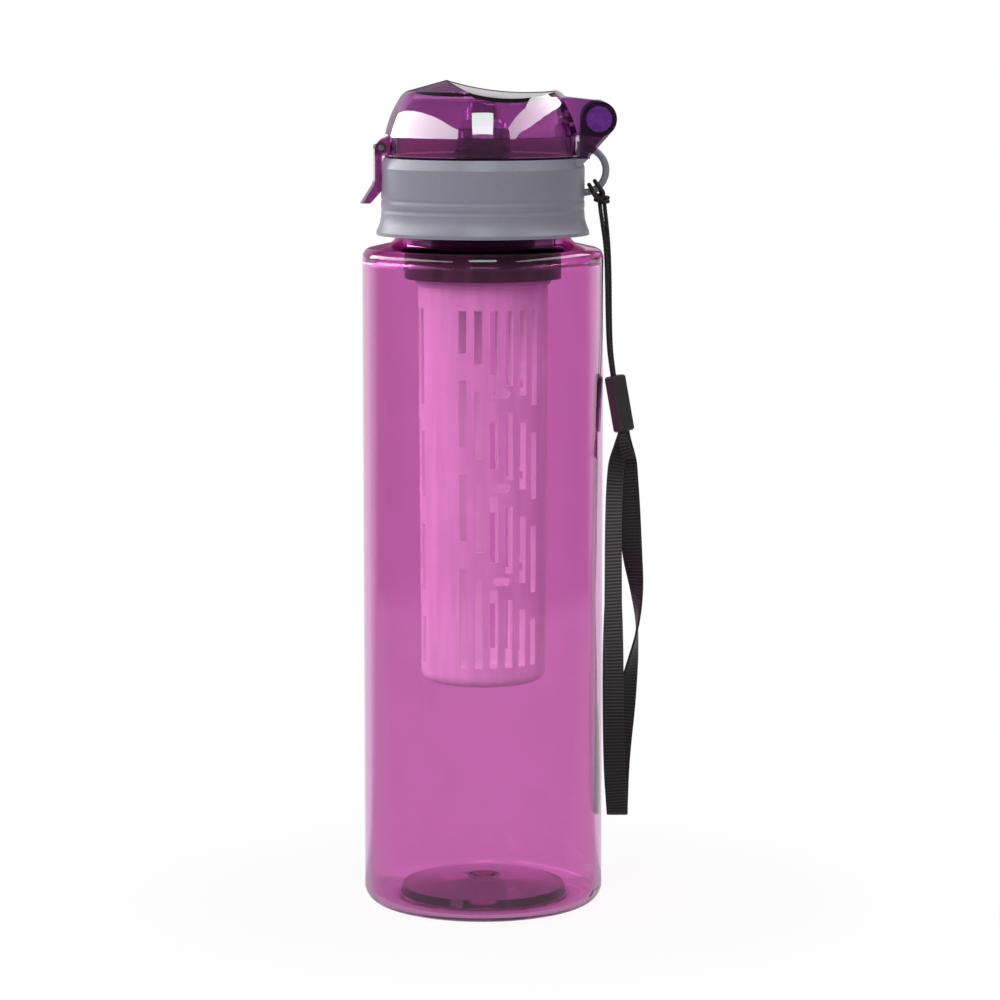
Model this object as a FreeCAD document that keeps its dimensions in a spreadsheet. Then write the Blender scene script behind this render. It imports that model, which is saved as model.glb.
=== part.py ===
import FreeCAD, Part

import math
import os
from collections import namedtuple
from types import SimpleNamespace

import Sketcher
from FreeCAD import Placement, Rotation, Vector

# Fruit infuser bottle: a clear bottle, a screw collar with a flip lid, an infuser basket hung in
# the neck and a wrist lanyard on the collar's loop.
# Frame: origin at the centre of the base, +Z up, +X towards the lid's hinge, millimetres.

SIZES = {
    # bottle
    "body_radius": 36.0,
    "body_wall": 2.0,
    "base_corner_radius": 5.0,
    "stand_ring_width": 5.4,
    "floor_height": 2.0,
    "floor_corner_radius": 3.0,
    "dome_slope_width": 1.2,
    "dome_edge_height": 4.9,
    "dome_top_height": 7.5,
    "dome_thickness": 2.6,
    "dimple_radius": 4.6,
    "dimple_floor_radius": 3.2,
    "dimple_depth": 1.0,
    "shoulder_height": 197.6,
    "shoulder_rise": 2.2,
    "shoulder_corner_radius": 3.0,
    "neck_radius": 26.2,
    "neck_wall": 2.2,
    "neck_root_radius": 2.4,
    "neck_height": 22.8,
    # screw thread, on the neck and in the collar
    "thread_lead": 6.0,
    "thread_turns": 1.25,
    "thread_depth": 1.2,
    "thread_root_width": 2.6,
    "thread_crest_width": 1.3,
    "thread_gap": 0.6,
    "thread_drop": 12.4,
    # screw collar
    "collar_wall": 2.3,
    "collar_height": 22.8,
    "collar_flange_thickness": 2.8,
    "collar_flare": 1.4,
    "collar_lip_height": 1.0,
    "collar_flare_height": 6.4,
    "collar_flare_radius": 11.4,
    "collar_band_height": 3.0,
    "collar_band_inset": 0.9,
    "collar_groove_depth": 0.16,
    "collar_groove_width": 1.8,
    "collar_groove_rise": 6.6,
    "collar_groove_spacing": 2.9,
    "bracket_flare": 0.8,
    "tongue_half_width": 4.0,
    "tongue_height": 4.8,
    "tongue_gap": 0.5,
    "loop_radius": 6.6,
    "loop_wire_radius": 1.05,
    "loop_inset": 0.3,
    "loop_drop": 3.8,
    "loop_sweep": 180.0,
    "catch_reach": 0.9,
    "catch_half_angle": 9.0,
    "catch_height": 2.2,
    "catch_drop": 7.2,
    # seals
    "gasket_thickness": 1.6,
    "gasket_overhang": 1.0,
    "gasket_inset": 0.2,
    "seal_wire_radius": 0.9,
    "seal_groove_depth": 1.5,
    "seal_groove_width": 2.0,
    "seal_groove_drop": 7.4,
    # lid deck
    "insert_clearance": 0.6,
    "assembly_gap": 0.3,
    "deck_flange_thickness": 0.7,
    "deck_thickness": 2.6,
    "boss_drop": 9.2,
    "skirt_wall": 1.8,
    "skirt_height": 12.6,
    "snap_bead_drop": 7.1,
    "snap_bead_reach": 0.5,
    "snap_bead_width": 1.6,
    "spout_radius": 7.9,
    "spout_wall": 2.1,
    "spout_height": 8.9,
    "spout_lip_radius": 0.8,
    "spout_root_radius": 3.0,
    # hinge
    "hinge_reach": 3.9,
    "hinge_rise": 10.9,
    "hinge_eye_radius": 5.3,
    "ear_thickness": 3.2,
    "ear_gap": 0.4,
    "ear_foot_inset": 0.6,
    "ear_foot_reach": 1.3,
    "ear_root_inset": 7.2,
    "knuckle_half_width": 8.2,
    "hinge_pin_radius": 2.0,
    "hinge_pin_head_radius": 3.8,
    "hinge_pin_head_thickness": 1.2,
    "pin_running_gap": 0.08,
    "pin_fit_gap": 0.02,
    # flip lid
    "lid_inset": 1.1,
    "lid_wall": 2.2,
    "seam_gap": 0.2,
    "lid_skirt_height": 5.4,
    "lid_side_radius": 30.0,
    "lid_corner_inset": 5.8,
    "lid_corner_height": 18.5,
    "lid_corner_radius": 4.5,
    "lid_crown_rise": 6.5,
    "scoop_radius": 80.0,
    "scoop_x": 13.0,
    "scoop_low_height": 18.4,
    "scoop_overrun": 10.8,
    "saddle_radius": 165.0,
    "arm_top_height": 17.1,
    "arm_root_inset": 8.2,
    "arm_bottom_height": 6.5,
    "lid_boss_radius": 4.2,
    "lid_boss_wall": 0.9,
    # latch on the lid's front
    "latch_pivot_reach": 0.7,
    "latch_pivot_rise": 2.3,
    "latch_half_width": 8.0,
    "latch_eye_radius": 1.7,
    "latch_pin_radius": 0.8,
    "latch_gap": 0.4,
    "latch_thickness": 2.1,
    "latch_web_thickness": 0.9,
    "latch_top_radius": 1.2,
    "latch_bend_drop": 7.4,
    "latch_bend_radius": 4.0,
    "latch_tip_reach": 3.7,
    "latch_tip_drop": 5.9,
    "latch_tip_thickness": 2.3,
    "latch_side_gap": 0.4,
    "latch_recess_depth": 1.2,
    "latch_recess_height": 6.1,
    "lug_thickness": 2.0,
    "lug_reach": 1.9,
    "lug_rise": 3.6,
    # spout plug
    "plug_seat_gap": 0.15,
    "plug_nose_gap": 0.7,
    "plug_nose_taper": 0.5,
    "plug_nose_depth": 2.5,
    "plug_flange_inset": 0.3,
    "plug_flange_thickness": 1.6,
    "plug_web_thickness": 0.97,
    "plug_sleeve_wall": 1.5,
    "plug_sleeve_height": 3.0,
    # infuser ring and basket
    "ring_height": 26.5,
    "ring_wall": 2.7,
    "rim_gap": 0.4,
    "rim_wall": 1.7,
    "rim_top_gap": 3.0,
    "rim_drop": 1.4,
    "basket_step": 0.9,
    "basket_draft": 0.7,
    "basket_wall": 1.5,
    "basket_length": 119.9,
    "basket_corner_radius": 3.3,
    "bayonet_lugs": 3,
    "bayonet_lug_reach": 1.6,
    "bayonet_lug_half_width": 3.5,
    "bayonet_lug_height": 2.4,
    "bayonet_rise": 3.6,
    "bayonet_gap": 0.3,
    "basket_panels": 3,
    "basket_panel_turn": 17.0,
    "slot_columns": 6,
    "slot_pitch_angle": 14.0,
    "slot_width": 2.4,
    "slot_zone_rise": 6.2,
    "slot_zone_drop": 7.2,
    "slot_bands": 3,
    "slot_band_height": 8.0,
    "slot_band_pitch": 28.0,
    "slot_band_first": 22.0,
    "slot_band_slant": 3.2,
    "oval_length": 5.0,
    "oval_width": 2.6,
    "cut_overrun": 1.0,
    # lanyard
    "cord_diameter": 1.2,
    "bead_width": 5.4,
    "bead_depth": 4.4,
    "bead_length": 16.9,
    "bead_edge_radius": 0.8,
    "bead_yaw": 35.0,
    "bead_end_chamfer": 0.5,
    "bead_top_x": 39.45,
    "bead_top_height": 159.6,
    "bead_tilt": 10.0,
    "strap_width": 6.4,
    "strap_thickness": 0.8,
    "strap_end_width": 2.8,
}

# shares of the hinge eye's radius where the leg's back edge meets the eye
EAR_BACK_X_SHARE = 0.73
EAR_BACK_Z_SHARE = 0.68

# lanyard cord: one cord from the bead up to the carry loop, hitched round its wire, and back
CORD_ROUTE = [
    (38.9, -0.7, 159.0), (38.1, -0.75, 164.0), (37.5, -0.8, 169.5), (37.2, -0.8, 178.0),
    (37.0, -0.75, 188.0), (36.7, -0.5, 197.5), (35.7, 0.0, 204.6), (35.0, 0.5, 209.3),
    (34.7, 0.9, 212.4), (33.7, 1.9, 213.7), (32.4, 2.1, 215.5), (31.6, 0.9, 216.7),
    (31.6, -0.9, 216.7), (32.3, -2.1, 215.5), (32.9, -2.5, 214.0), (34.2, -2.3, 212.4),
    (36.1, -2.3, 213.7), (35.2, -2.5, 215.5), (34.1, -2.1, 216.6), (33.3, -0.9, 217.8),
    (33.3, 0.9, 217.8), (34.0, 2.1, 216.6), (35.1, 1.9, 214.7), (36.0, 0.9, 213.1),
    (36.3, 0.85, 210.0), (36.9, 0.8, 205.0), (37.6, 0.75, 197.5), (37.9, 0.75, 188.0),
    (38.0, 0.75, 178.0), (38.2, 0.75, 169.5), (38.7, 0.75, 164.0), (39.4, 0.7, 159.0),
]

# wrist strap: from the bead down the front, round the fold and up the back to the bead
STRAP_ROUTE = [
    (41.9, -0.7, 143.8), (40.8, -1.4, 138.4), (39.6, -2.8, 131.0), (39.1, -4.2, 118.0),
    (39.1, -5.5, 97.0), (39.1, -6.3, 75.0), (39.2, -6.5, 55.0), (39.6, -6.2, 40.0),
    (40.3, -5.0, 31.0), (40.7, -2.3, 26.0), (40.8, 1.9, 26.0), (41.0, 3.7, 31.0),
    (41.3, 3.7, 40.0), (42.4, 3.3, 53.0), (43.9, 2.8, 64.5), (45.6, 2.3, 74.5),
    (46.8, 2.0, 83.5), (46.5, 1.7, 94.5), (44.8, 1.5, 106.5), (44.1, 1.4, 121.0),
    (43.3, 1.3, 131.0), (42.9, 1.2, 138.4), (42.5, 0.7, 143.8),
]
# how far the strap is turned about its own line, in degrees, at shares of its length
STRAP_TURNS = [(0.0, -35.0), (0.26, 0.0), (0.62, 0.0), (0.875, 180.0), (1.0, 180.0)]
# share of the strap's length that spreads from the bead to the full width, at either end
STRAP_SPREAD_SHARE = 0.05
STRAP_STATIONS = 72

# share of the shorter run beside a corner that its bend takes, on the cord and the strap
BEND_SHARE = 0.45


class Size:
    """A size with its value and the sheet expression that gives it."""

    def __init__(self, value, text):
        self.value = value
        self.text = text

    def _with(self, sign, other, swap=False):
        other = other if isinstance(other, Size) else Size(other, repr(other))
        left, right = (other, self) if swap else (self, other)
        value = {
            "+": lambda: left.value + right.value,
            "-": lambda: left.value - right.value,
            "*": lambda: left.value * right.value,
            "/": lambda: left.value / right.value,
        }[sign]()
        return Size(value, f"({left.text} {sign} {right.text})")

    def __add__(self, other):
        return self._with("+", other)

    def __radd__(self, other):
        return self._with("+", other, swap=True)

    def __sub__(self, other):
        return self._with("-", other)

    def __rsub__(self, other):
        return self._with("-", other, swap=True)

    def __mul__(self, other):
        return self._with("*", other)

    def __rmul__(self, other):
        return self._with("*", other, swap=True)

    def __truediv__(self, other):
        return self._with("/", other)

    def __neg__(self):
        return Size(-self.value, f"(-{self.text})")


ZERO = Size(0.0, "0")

# a corner of an outline: its place, the radius that rounds it, and the radius of the arc that
# leaves it for the next corner, positive where that arc turns left
Corner = namedtuple("Corner", "x y rounding arc", defaults=(None, None))

document = FreeCAD.newDocument("infuser_bottle")
sheet = document.addObject("Spreadsheet::Sheet", "sizes")
for row, (alias, number) in enumerate(SIZES.items(), start=1):
    sheet.set(f"A{row}", alias)
    sheet.set(f"B{row}", str(number))
    sheet.setAlias(f"B{row}", alias)
document.recompute()
s = SimpleNamespace(**{alias: Size(float(number), f"sizes.{alias}") for alias, number in SIZES.items()})

# the bottle's base, from the wall inwards
stand_ring_inner = s.body_radius - s.base_corner_radius - s.stand_ring_width
dome_radius = stand_ring_inner - s.dome_slope_width

# radii that follow from the neck outwards
neck_bore = s.neck_radius - s.neck_wall
collar_bore = s.neck_radius + s.thread_depth + s.thread_gap
collar_radius = collar_bore + s.collar_wall
lid_radius = collar_radius - s.lid_inset
latch_inner = collar_radius + s.latch_gap
latch_outer = latch_inner + s.latch_thickness

# radii that follow from the neck inwards
insert_radius = neck_bore - s.insert_clearance
collar_hole = insert_radius + s.assembly_gap
ring_bore = insert_radius - s.ring_wall
skirt_radius = ring_bore - s.pin_running_gap
rim_radius = ring_bore - s.rim_gap
spout_bore = s.spout_radius - s.spout_wall

# heights that follow from the rim of the neck upwards
rim_height = s.shoulder_height + s.neck_height
thread_height = rim_height - s.thread_drop
collar_ceiling = rim_height + s.gasket_thickness
collar_top = collar_ceiling + s.collar_flange_thickness
collar_bottom = collar_top - s.collar_height
deck_top = collar_top + s.deck_flange_thickness
lid_bottom = deck_top + s.seam_gap
spout_top = deck_top + s.spout_height
plug_seat = spout_top + s.plug_seat_gap
plug_flange_top = plug_seat + s.plug_flange_thickness
lid_boss_bottom = plug_flange_top + s.plug_web_thickness + s.pin_running_gap

# heights that follow from the deck downwards
boss_bottom = collar_top - s.boss_drop
skirt_bottom = boss_bottom - s.skirt_height
snap_bead_height = boss_bottom - s.snap_bead_drop
ring_bottom = boss_bottom - s.ring_height
bayonet_height = ring_bottom + s.bayonet_rise
rim_top = skirt_bottom - s.rim_top_gap
rim_bottom = ring_bottom - s.rim_drop
basket_bottom = rim_bottom - s.basket_length

# pivots
hinge_x = collar_radius + s.hinge_reach
hinge_height = deck_top + s.hinge_rise
latch_pivot_x = -(lid_radius + s.latch_pivot_reach)
latch_pivot_height = lid_bottom + s.latch_pivot_rise
loop_centre_x = collar_radius - s.loop_inset
loop_centre_height = collar_top - s.loop_drop
ear_inner_y = s.knuckle_half_width + s.ear_gap
ear_outer_y = ear_inner_y + s.ear_thickness


def bind(thing, prop, size):
    """Ties a property to a size."""
    thing.setExpression(prop, size.text)


def new_body(label):
    body = document.addObject("PartDesign::Body", label)
    body.Label = label
    return body


def new_sketch(body, name, role, offset=None, turn=None):
    """A sketch on one of the body's origin planes, moved along its normal or turned about its height."""
    sketch = body.newObject("Sketcher::SketchObject", name)
    plane = [feature for feature in body.Origin.OriginFeatures if feature.Role == role][0]
    sketch.AttachmentSupport = [(plane, "")]
    sketch.MapMode = "FlatFace"
    if turn is not None:
        sketch.AttachmentOffset = Placement(Vector(), Rotation(Vector(0, 1, 0), turn.value))
        bind(sketch, "AttachmentOffset.Rotation.Angle", turn)
    if offset is not None:
        bind(sketch, "AttachmentOffset.Base.z", offset)
    return sketch


def place_point(sketch, geometry, position, x, y):
    """Fixes a point of the sketch at x, y with dimensions tied to the sheet."""
    root = (-1, 1)
    for kind, size, axis in (("DistanceX", x, -2), ("DistanceY", y, -1)):
        if size is ZERO:
            sketch.addConstraint(Sketcher.Constraint("PointOnObject", geometry, position, axis))
        else:
            index = sketch.addConstraint(Sketcher.Constraint(kind, *root, geometry, position, size.value))
            bind(sketch, f"Constraints[{index}]", size)


def arc_between(start, end, radius, turns_left):
    """The arc of the given radius from start to end, and which of its ends is the start."""
    middle = (start + end) * 0.5
    chord = end - start
    normal = Vector(-chord.y, chord.x, 0).normalize()
    height = math.sqrt(max(radius ** 2 - (chord.Length / 2) ** 2, 0))
    centre = middle + normal * (height if turns_left else -height)
    first, last = (start, end) if turns_left else (end, start)
    angles = [math.atan2(p.y - centre.y, p.x - centre.x) for p in (first, last)]
    if angles[1] < angles[0]:
        angles[1] += 2 * math.pi
    arc = Part.ArcOfCircle(Part.Circle(centre, Vector(0, 0, 1), radius), *angles)
    return arc, (1, 2) if turns_left else (2, 1)


def draw(sketch, corners):
    """Draws one closed outline through the corners, rounded where a corner says so."""
    count = len(corners)
    points = [Vector(c.x.value, c.y.value, 0) for c in corners]
    arrive = list(points)
    leave = list(points)
    turns_left = [True] * count
    for i, corner in enumerate(corners):
        if corner.rounding is None:
            continue
        way_in = (points[i] - points[i - 1]).normalize()
        way_out = (points[(i + 1) % count] - points[i]).normalize()
        turns_left[i] = way_in.cross(way_out).z > 0
        cut_back = corner.rounding.value * math.tan(way_in.getAngle(way_out) / 2)
        arrive[i] = points[i] - way_in * cut_back
        leave[i] = points[i] + way_out * cut_back
    sides = []
    ends = []
    for i, corner in enumerate(corners):
        stop = arrive[(i + 1) % count]
        if corner.arc is None:
            edge, ends_here = Part.LineSegment(leave[i], stop), (1, 2)
        else:
            edge, ends_here = arc_between(leave[i], stop, abs(corner.arc.value), corner.arc.value > 0)
        sides.append(sketch.addGeometry(edge))
        ends.append(ends_here)
    for i, corner in enumerate(corners):
        before = (sides[i - 1], ends[i - 1][1])
        after = (sides[i], ends[i][0])
        if corner.rounding is None:
            sketch.addConstraint(Sketcher.Constraint("Coincident", *before, *after))
            place_point(sketch, *after, corner.x, corner.y)
        else:
            arc, arc_ends = arc_between(arrive[i], leave[i], corner.rounding.value, turns_left[i])
            bend = sketch.addGeometry(arc)
            tip = sketch.addGeometry(Part.Point(points[i]), True)
            sketch.addConstraint([
                Sketcher.Constraint("Tangent", *before, bend, arc_ends[0]),
                Sketcher.Constraint("Tangent", bend, arc_ends[1], *after),
                Sketcher.Constraint("PointOnObject", tip, 1, sides[i - 1]),
                Sketcher.Constraint("PointOnObject", tip, 1, sides[i]),
            ])
            index = sketch.addConstraint(Sketcher.Constraint("Radius", bend, corner.rounding.value))
            bind(sketch, f"Constraints[{index}]", corner.rounding)
            place_point(sketch, tip, 1, corner.x, corner.y)
        if corner.arc is not None:
            index = sketch.addConstraint(Sketcher.Constraint("Radius", sides[i], abs(corner.arc.value)))
            bind(sketch, f"Constraints[{index}]", corner.arc if corner.arc.value > 0 else -corner.arc)


def draw_circle(sketch, x, y, radius):
    centre = Vector(x.value, y.value, 0)
    ring = sketch.addGeometry(Part.Circle(centre, Vector(0, 0, 1), radius.value))
    index = sketch.addConstraint(Sketcher.Constraint("Radius", ring, radius.value))
    bind(sketch, f"Constraints[{index}]", radius)
    place_point(sketch, ring, 3, x, y)


def draw_axis(sketch, start, end):
    """A construction line, the sketch's own turning axis."""
    line = sketch.addGeometry(Part.LineSegment(*[Vector(x.value, y.value, 0) for x, y in (start, end)]), True)
    place_point(sketch, line, 1, *start)
    place_point(sketch, line, 2, *end)


def box_corners(x0, x1, y0, y1, rounding=None):
    return [Corner(x, y, rounding) for x, y in ((x0, y0), (x1, y0), (x1, y1), (x0, y1))]


def turn_about(body, kind, sketch, axis="V_Axis", angle=None):
    """A Revolution or Groove of the sketch, a full turn or an angle centred on the sketch."""
    feature = body.newObject(f"PartDesign::{kind}", f"{sketch.Name}_{kind.lower()}")
    feature.Profile = sketch
    feature.ReferenceAxis = (sketch, [axis])
    feature.Angle = 360.0
    if angle is not None:
        feature.Midplane = True
        bind(feature, "Angle", angle)
    return feature


def extrude(body, kind, sketch, length=None, both_sides=False, flip=False):
    """A Pad or Pocket of the sketch; with no length it goes through all."""
    feature = body.newObject(f"PartDesign::{kind}", f"{sketch.Name}_{kind.lower()}")
    feature.Profile = sketch
    feature.Reversed = flip
    if both_sides:
        feature.SideType = "Symmetric"
    if length is None:
        feature.Type = "ThroughAll"
    else:
        bind(feature, "Length", length)
    return feature


def repeat(body, feature, count):
    """Copies of a feature, evenly spaced about the body's upright axis."""
    pattern = body.newObject("PartDesign::PolarPattern", f"{feature.Name}_ring")
    pattern.Originals = [feature]
    pattern.Axis = ([f for f in body.Origin.OriginFeatures if f.Role == "Z_Axis"][0], [""])
    pattern.Angle = 360.0
    bind(pattern, "Occurrences", count)
    body.Tip = pattern
    return pattern


def turned_body(label, corners):
    """A body whose outline, given as radius and height, is turned about the upright axis."""
    body = new_body(label)
    sketch = new_sketch(body, f"{label}_outline", "XZ_Plane")
    draw(sketch, corners)
    turn_about(body, "Revolution", sketch)
    return body


def add_thread(body, name, root, crest, height):
    """A helical ridge from the root radius to the crest radius, whose middle starts at the height."""
    sketch = new_sketch(body, name, "XZ_Plane")
    half_root = s.thread_root_width / 2
    half_crest = s.thread_crest_width / 2
    draw(sketch, [Corner(root, height - half_root), Corner(crest, height - half_crest),
                  Corner(crest, height + half_crest), Corner(root, height + half_root)])
    helix = body.newObject("PartDesign::AdditiveHelix", f"{name}_helix")
    helix.Profile = sketch
    helix.ReferenceAxis = (sketch, ["V_Axis"])
    helix.Mode = "pitch-turns-angle"
    bind(helix, "Pitch", s.thread_lead)
    bind(helix, "Turns", s.thread_turns)


def make_bottle_body():
    inner = s.body_radius - s.body_wall
    dimple_floor = s.dome_top_height - s.dimple_depth
    body = turned_body("bottle_body", [
        Corner(stand_ring_inner, ZERO),
        Corner(s.body_radius, ZERO, s.base_corner_radius),
        Corner(s.body_radius, s.shoulder_height, s.shoulder_corner_radius),
        Corner(s.neck_radius, s.shoulder_height + s.shoulder_rise, s.neck_root_radius),
        Corner(s.neck_radius, rim_height),
        Corner(neck_bore, rim_height),
        Corner(neck_bore, s.shoulder_height + s.shoulder_rise - s.body_wall, s.neck_root_radius),
        Corner(inner, s.shoulder_height - s.body_wall, s.shoulder_corner_radius),
        Corner(inner, s.floor_height, s.floor_corner_radius),
        Corner(stand_ring_inner, s.floor_height),
        Corner(dome_radius, s.dome_edge_height),
        Corner(s.dimple_radius, s.dome_top_height),
        Corner(s.dimple_floor_radius, dimple_floor),
        Corner(ZERO, dimple_floor),
        Corner(ZERO, dimple_floor - s.dome_thickness),
        Corner(s.dimple_floor_radius, dimple_floor - s.dome_thickness),
        Corner(s.dimple_radius, s.dome_top_height - s.dome_thickness),
        Corner(dome_radius, s.dome_edge_height - s.dome_thickness),
    ])
    root = s.neck_radius - s.neck_wall / 2
    add_thread(body, "neck_thread", root, s.neck_radius + s.thread_depth, thread_height)
    return body


def make_screw_collar():
    foot = collar_bottom
    rim = collar_radius + s.collar_flare
    groove_floor = collar_radius - s.collar_groove_depth
    grooves = []
    for step in (0, 1):
        low = (collar_bottom + s.collar_groove_rise) + step * s.collar_groove_spacing
        high = low + s.collar_groove_width
        grooves += [Corner(collar_radius, low), Corner(groove_floor, (low + high) / 2),
                    Corner(collar_radius, high)]
    body = turned_body("screw_collar", [
        Corner(collar_bore, foot),
        Corner(rim, foot),
        Corner(rim, foot + s.collar_lip_height, None, -s.collar_flare_radius),
        Corner(collar_radius, foot + s.collar_flare_height),
        *grooves,
        Corner(collar_radius, collar_top - s.collar_band_height),
        Corner(collar_radius - s.collar_band_inset, collar_top),
        Corner(collar_hole, collar_top),
        Corner(collar_hole, collar_ceiling),
        Corner(collar_bore, collar_ceiling),
    ])
    wall_middle = collar_bore + s.collar_wall / 2
    half_lead_down = thread_height - s.thread_lead / 2
    add_thread(body, "collar_thread", wall_middle, collar_bore - s.thread_depth, half_lead_down)
    bracket = new_sketch(body, "bracket", "XZ_Plane")
    draw(bracket, [
        Corner(collar_hole, collar_top),
        Corner(collar_bore, collar_ceiling),
        Corner(collar_radius, collar_top - s.bracket_flare),
        Corner(collar_radius + s.bracket_flare, collar_top),
    ])
    extrude(body, "Pad", bracket, 2 * ear_outer_y, both_sides=True)
    tongue = new_sketch(body, "tongue", "XZ_Plane")
    draw(tongue, [
        Corner(lid_radius + s.tongue_gap, collar_top - s.bracket_flare),
        Corner(collar_radius, collar_top - s.bracket_flare),
        Corner(collar_radius + s.bracket_flare, collar_top),
        Corner(collar_radius + s.bracket_flare, collar_top + s.tongue_height),
        Corner(lid_radius + s.tongue_gap, collar_top + s.tongue_height),
    ])
    extrude(body, "Pad", tongue, 2 * s.tongue_half_width, both_sides=True)
    loop = new_sketch(body, "carry_loop", "XY_Plane", offset=loop_centre_height)
    draw_circle(loop, loop_centre_x + s.loop_radius, ZERO, s.loop_wire_radius)
    draw_axis(loop, (loop_centre_x, ZERO), (loop_centre_x, s.loop_radius))
    turn_about(body, "Revolution", loop, "Axis0", s.loop_sweep)
    catch = new_sketch(body, "latch_catch", "XZ_Plane")
    catch_bottom = collar_top - s.catch_drop
    draw(catch, [
        Corner(-wall_middle, catch_bottom),
        Corner(-wall_middle, catch_bottom + s.catch_height + s.catch_reach),
        Corner(-collar_radius, catch_bottom + s.catch_height + s.catch_reach),
        Corner(-(collar_radius + s.catch_reach), catch_bottom + s.catch_height),
        Corner(-(collar_radius + s.catch_reach), catch_bottom),
    ])
    turn_about(body, "Revolution", catch, "V_Axis", 2 * s.catch_half_angle)
    return body


def make_lid_deck():
    plate_under = deck_top - s.deck_thickness
    groove = insert_radius - s.seal_groove_depth
    seal_groove = collar_top - s.seal_groove_drop
    groove_top = seal_groove + s.seal_groove_width
    skirt_inner = skirt_radius - s.skirt_wall
    half_bead = s.snap_bead_width / 2
    body = turned_body("lid_deck", [
        Corner(spout_bore, plate_under),
        Corner(spout_bore, spout_top),
        Corner(s.spout_radius, spout_top, s.spout_lip_radius),
        Corner(s.spout_radius, deck_top, s.spout_root_radius),
        Corner(lid_radius, deck_top),
        Corner(lid_radius, collar_top),
        Corner(insert_radius, collar_top),
        Corner(insert_radius, groove_top),
        Corner(groove, groove_top),
        Corner(groove, seal_groove),
        Corner(insert_radius, seal_groove),
        Corner(insert_radius, boss_bottom),
        Corner(skirt_radius, boss_bottom),
        Corner(skirt_radius, snap_bead_height + half_bead),
        Corner(skirt_radius + s.snap_bead_reach, snap_bead_height),
        Corner(skirt_radius, snap_bead_height - half_bead),
        Corner(skirt_radius, skirt_bottom),
        Corner(skirt_inner, skirt_bottom),
        Corner(skirt_inner, plate_under),
    ])
    leg = new_sketch(body, "ear_leg", "XZ_Plane", offset=ear_inner_y)
    draw(leg, [
        Corner(lid_radius - s.ear_root_inset, collar_top),
        Corner(collar_radius + s.ear_foot_reach, collar_top),
        Corner(collar_radius + s.ear_foot_reach, deck_top),
        Corner(hinge_x + EAR_BACK_X_SHARE * s.hinge_eye_radius,
               hinge_height - EAR_BACK_Z_SHARE * s.hinge_eye_radius),
        Corner(hinge_x - s.hinge_eye_radius, hinge_height),
        Corner(lid_radius - s.ear_foot_inset, deck_top),
        Corner(lid_radius - s.ear_root_inset, deck_top),
    ])
    leg_pad = extrude(body, "Pad", leg, s.ear_thickness)
    eye = new_sketch(body, "ear_eye", "XZ_Plane", offset=ear_inner_y)
    draw_circle(eye, hinge_x, hinge_height, s.hinge_eye_radius)
    eye_pad = extrude(body, "Pad", eye, s.ear_thickness)
    other_ear = body.newObject("PartDesign::Mirrored", "other_ear")
    other_ear.Originals = [leg_pad, eye_pad]
    other_ear.MirrorPlane = ([f for f in body.Origin.OriginFeatures if f.Role == "XZ_Plane"][0], [""])
    body.Tip = other_ear
    bore = new_sketch(body, "hinge_bore", "XZ_Plane")
    draw_circle(bore, hinge_x, hinge_height, s.hinge_pin_radius + s.pin_fit_gap)
    extrude(body, "Pocket", bore, both_sides=True)
    seat = new_sketch(body, "pin_head_seat", "XZ_Plane", offset=ear_outer_y)
    draw_circle(seat, hinge_x, hinge_height, s.hinge_pin_head_radius + s.pin_fit_gap)
    extrude(body, "Pocket", seat, s.hinge_pin_head_thickness)
    return body


def dome_corners(radius, skirt, corner_radius, corner_height, crown, foot):
    """The outline of the lid's dome, or of its hollow: upright skirt, bowed side and cone of a roof."""
    return [
        Corner(ZERO, foot),
        Corner(radius, foot),
        Corner(radius, skirt, None, s.lid_side_radius),
        Corner(corner_radius, corner_height),
        Corner(ZERO, corner_height + crown),
    ]


def round_corner(body, corner_radius, corner_height, rounding):
    """Rounds the round edge at the given radius and height of the body's newest feature."""
    document.recompute()
    turned = body.Tip
    near = s.pin_fit_gap.value
    rim = [f"Edge{i}" for i, edge in enumerate(turned.Shape.Edges, start=1)
           if abs(edge.BoundBox.XMax - corner_radius.value) < near
           and abs(edge.BoundBox.ZMin - corner_height.value) < near and edge.BoundBox.ZLength < near]
    fillet = body.newObject("PartDesign::Fillet", f"{body.Name}_corner")
    fillet.Base = (turned, rim)
    bind(fillet, "Radius", rounding)


def scoop_lid(body, name, low_height, radius):
    """Cuts the finger scoop: hollow from the latch to the hinge, crowned from side to side."""
    sketch = new_sketch(body, name, "YZ_Plane", offset=s.scoop_x)
    axis_height = low_height + radius
    reach = (lid_radius + s.scoop_overrun)
    drop_value = s.saddle_radius.value - math.sqrt(s.saddle_radius.value ** 2 - reach.value ** 2)
    saddle = s.saddle_radius.text
    drop = Size(drop_value, f"({saddle} - sqrt({saddle} * {saddle} - {reach.text} * {reach.text}))")
    draw(sketch, [
        Corner(-reach, axis_height),
        Corner(-reach, low_height - drop, None, -s.saddle_radius),
        Corner(reach, low_height - drop),
        Corner(reach, axis_height),
    ])
    draw_axis(sketch, (-reach, axis_height), (reach, axis_height))
    turn_about(body, "Groove", sketch, "Axis0")


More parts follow.
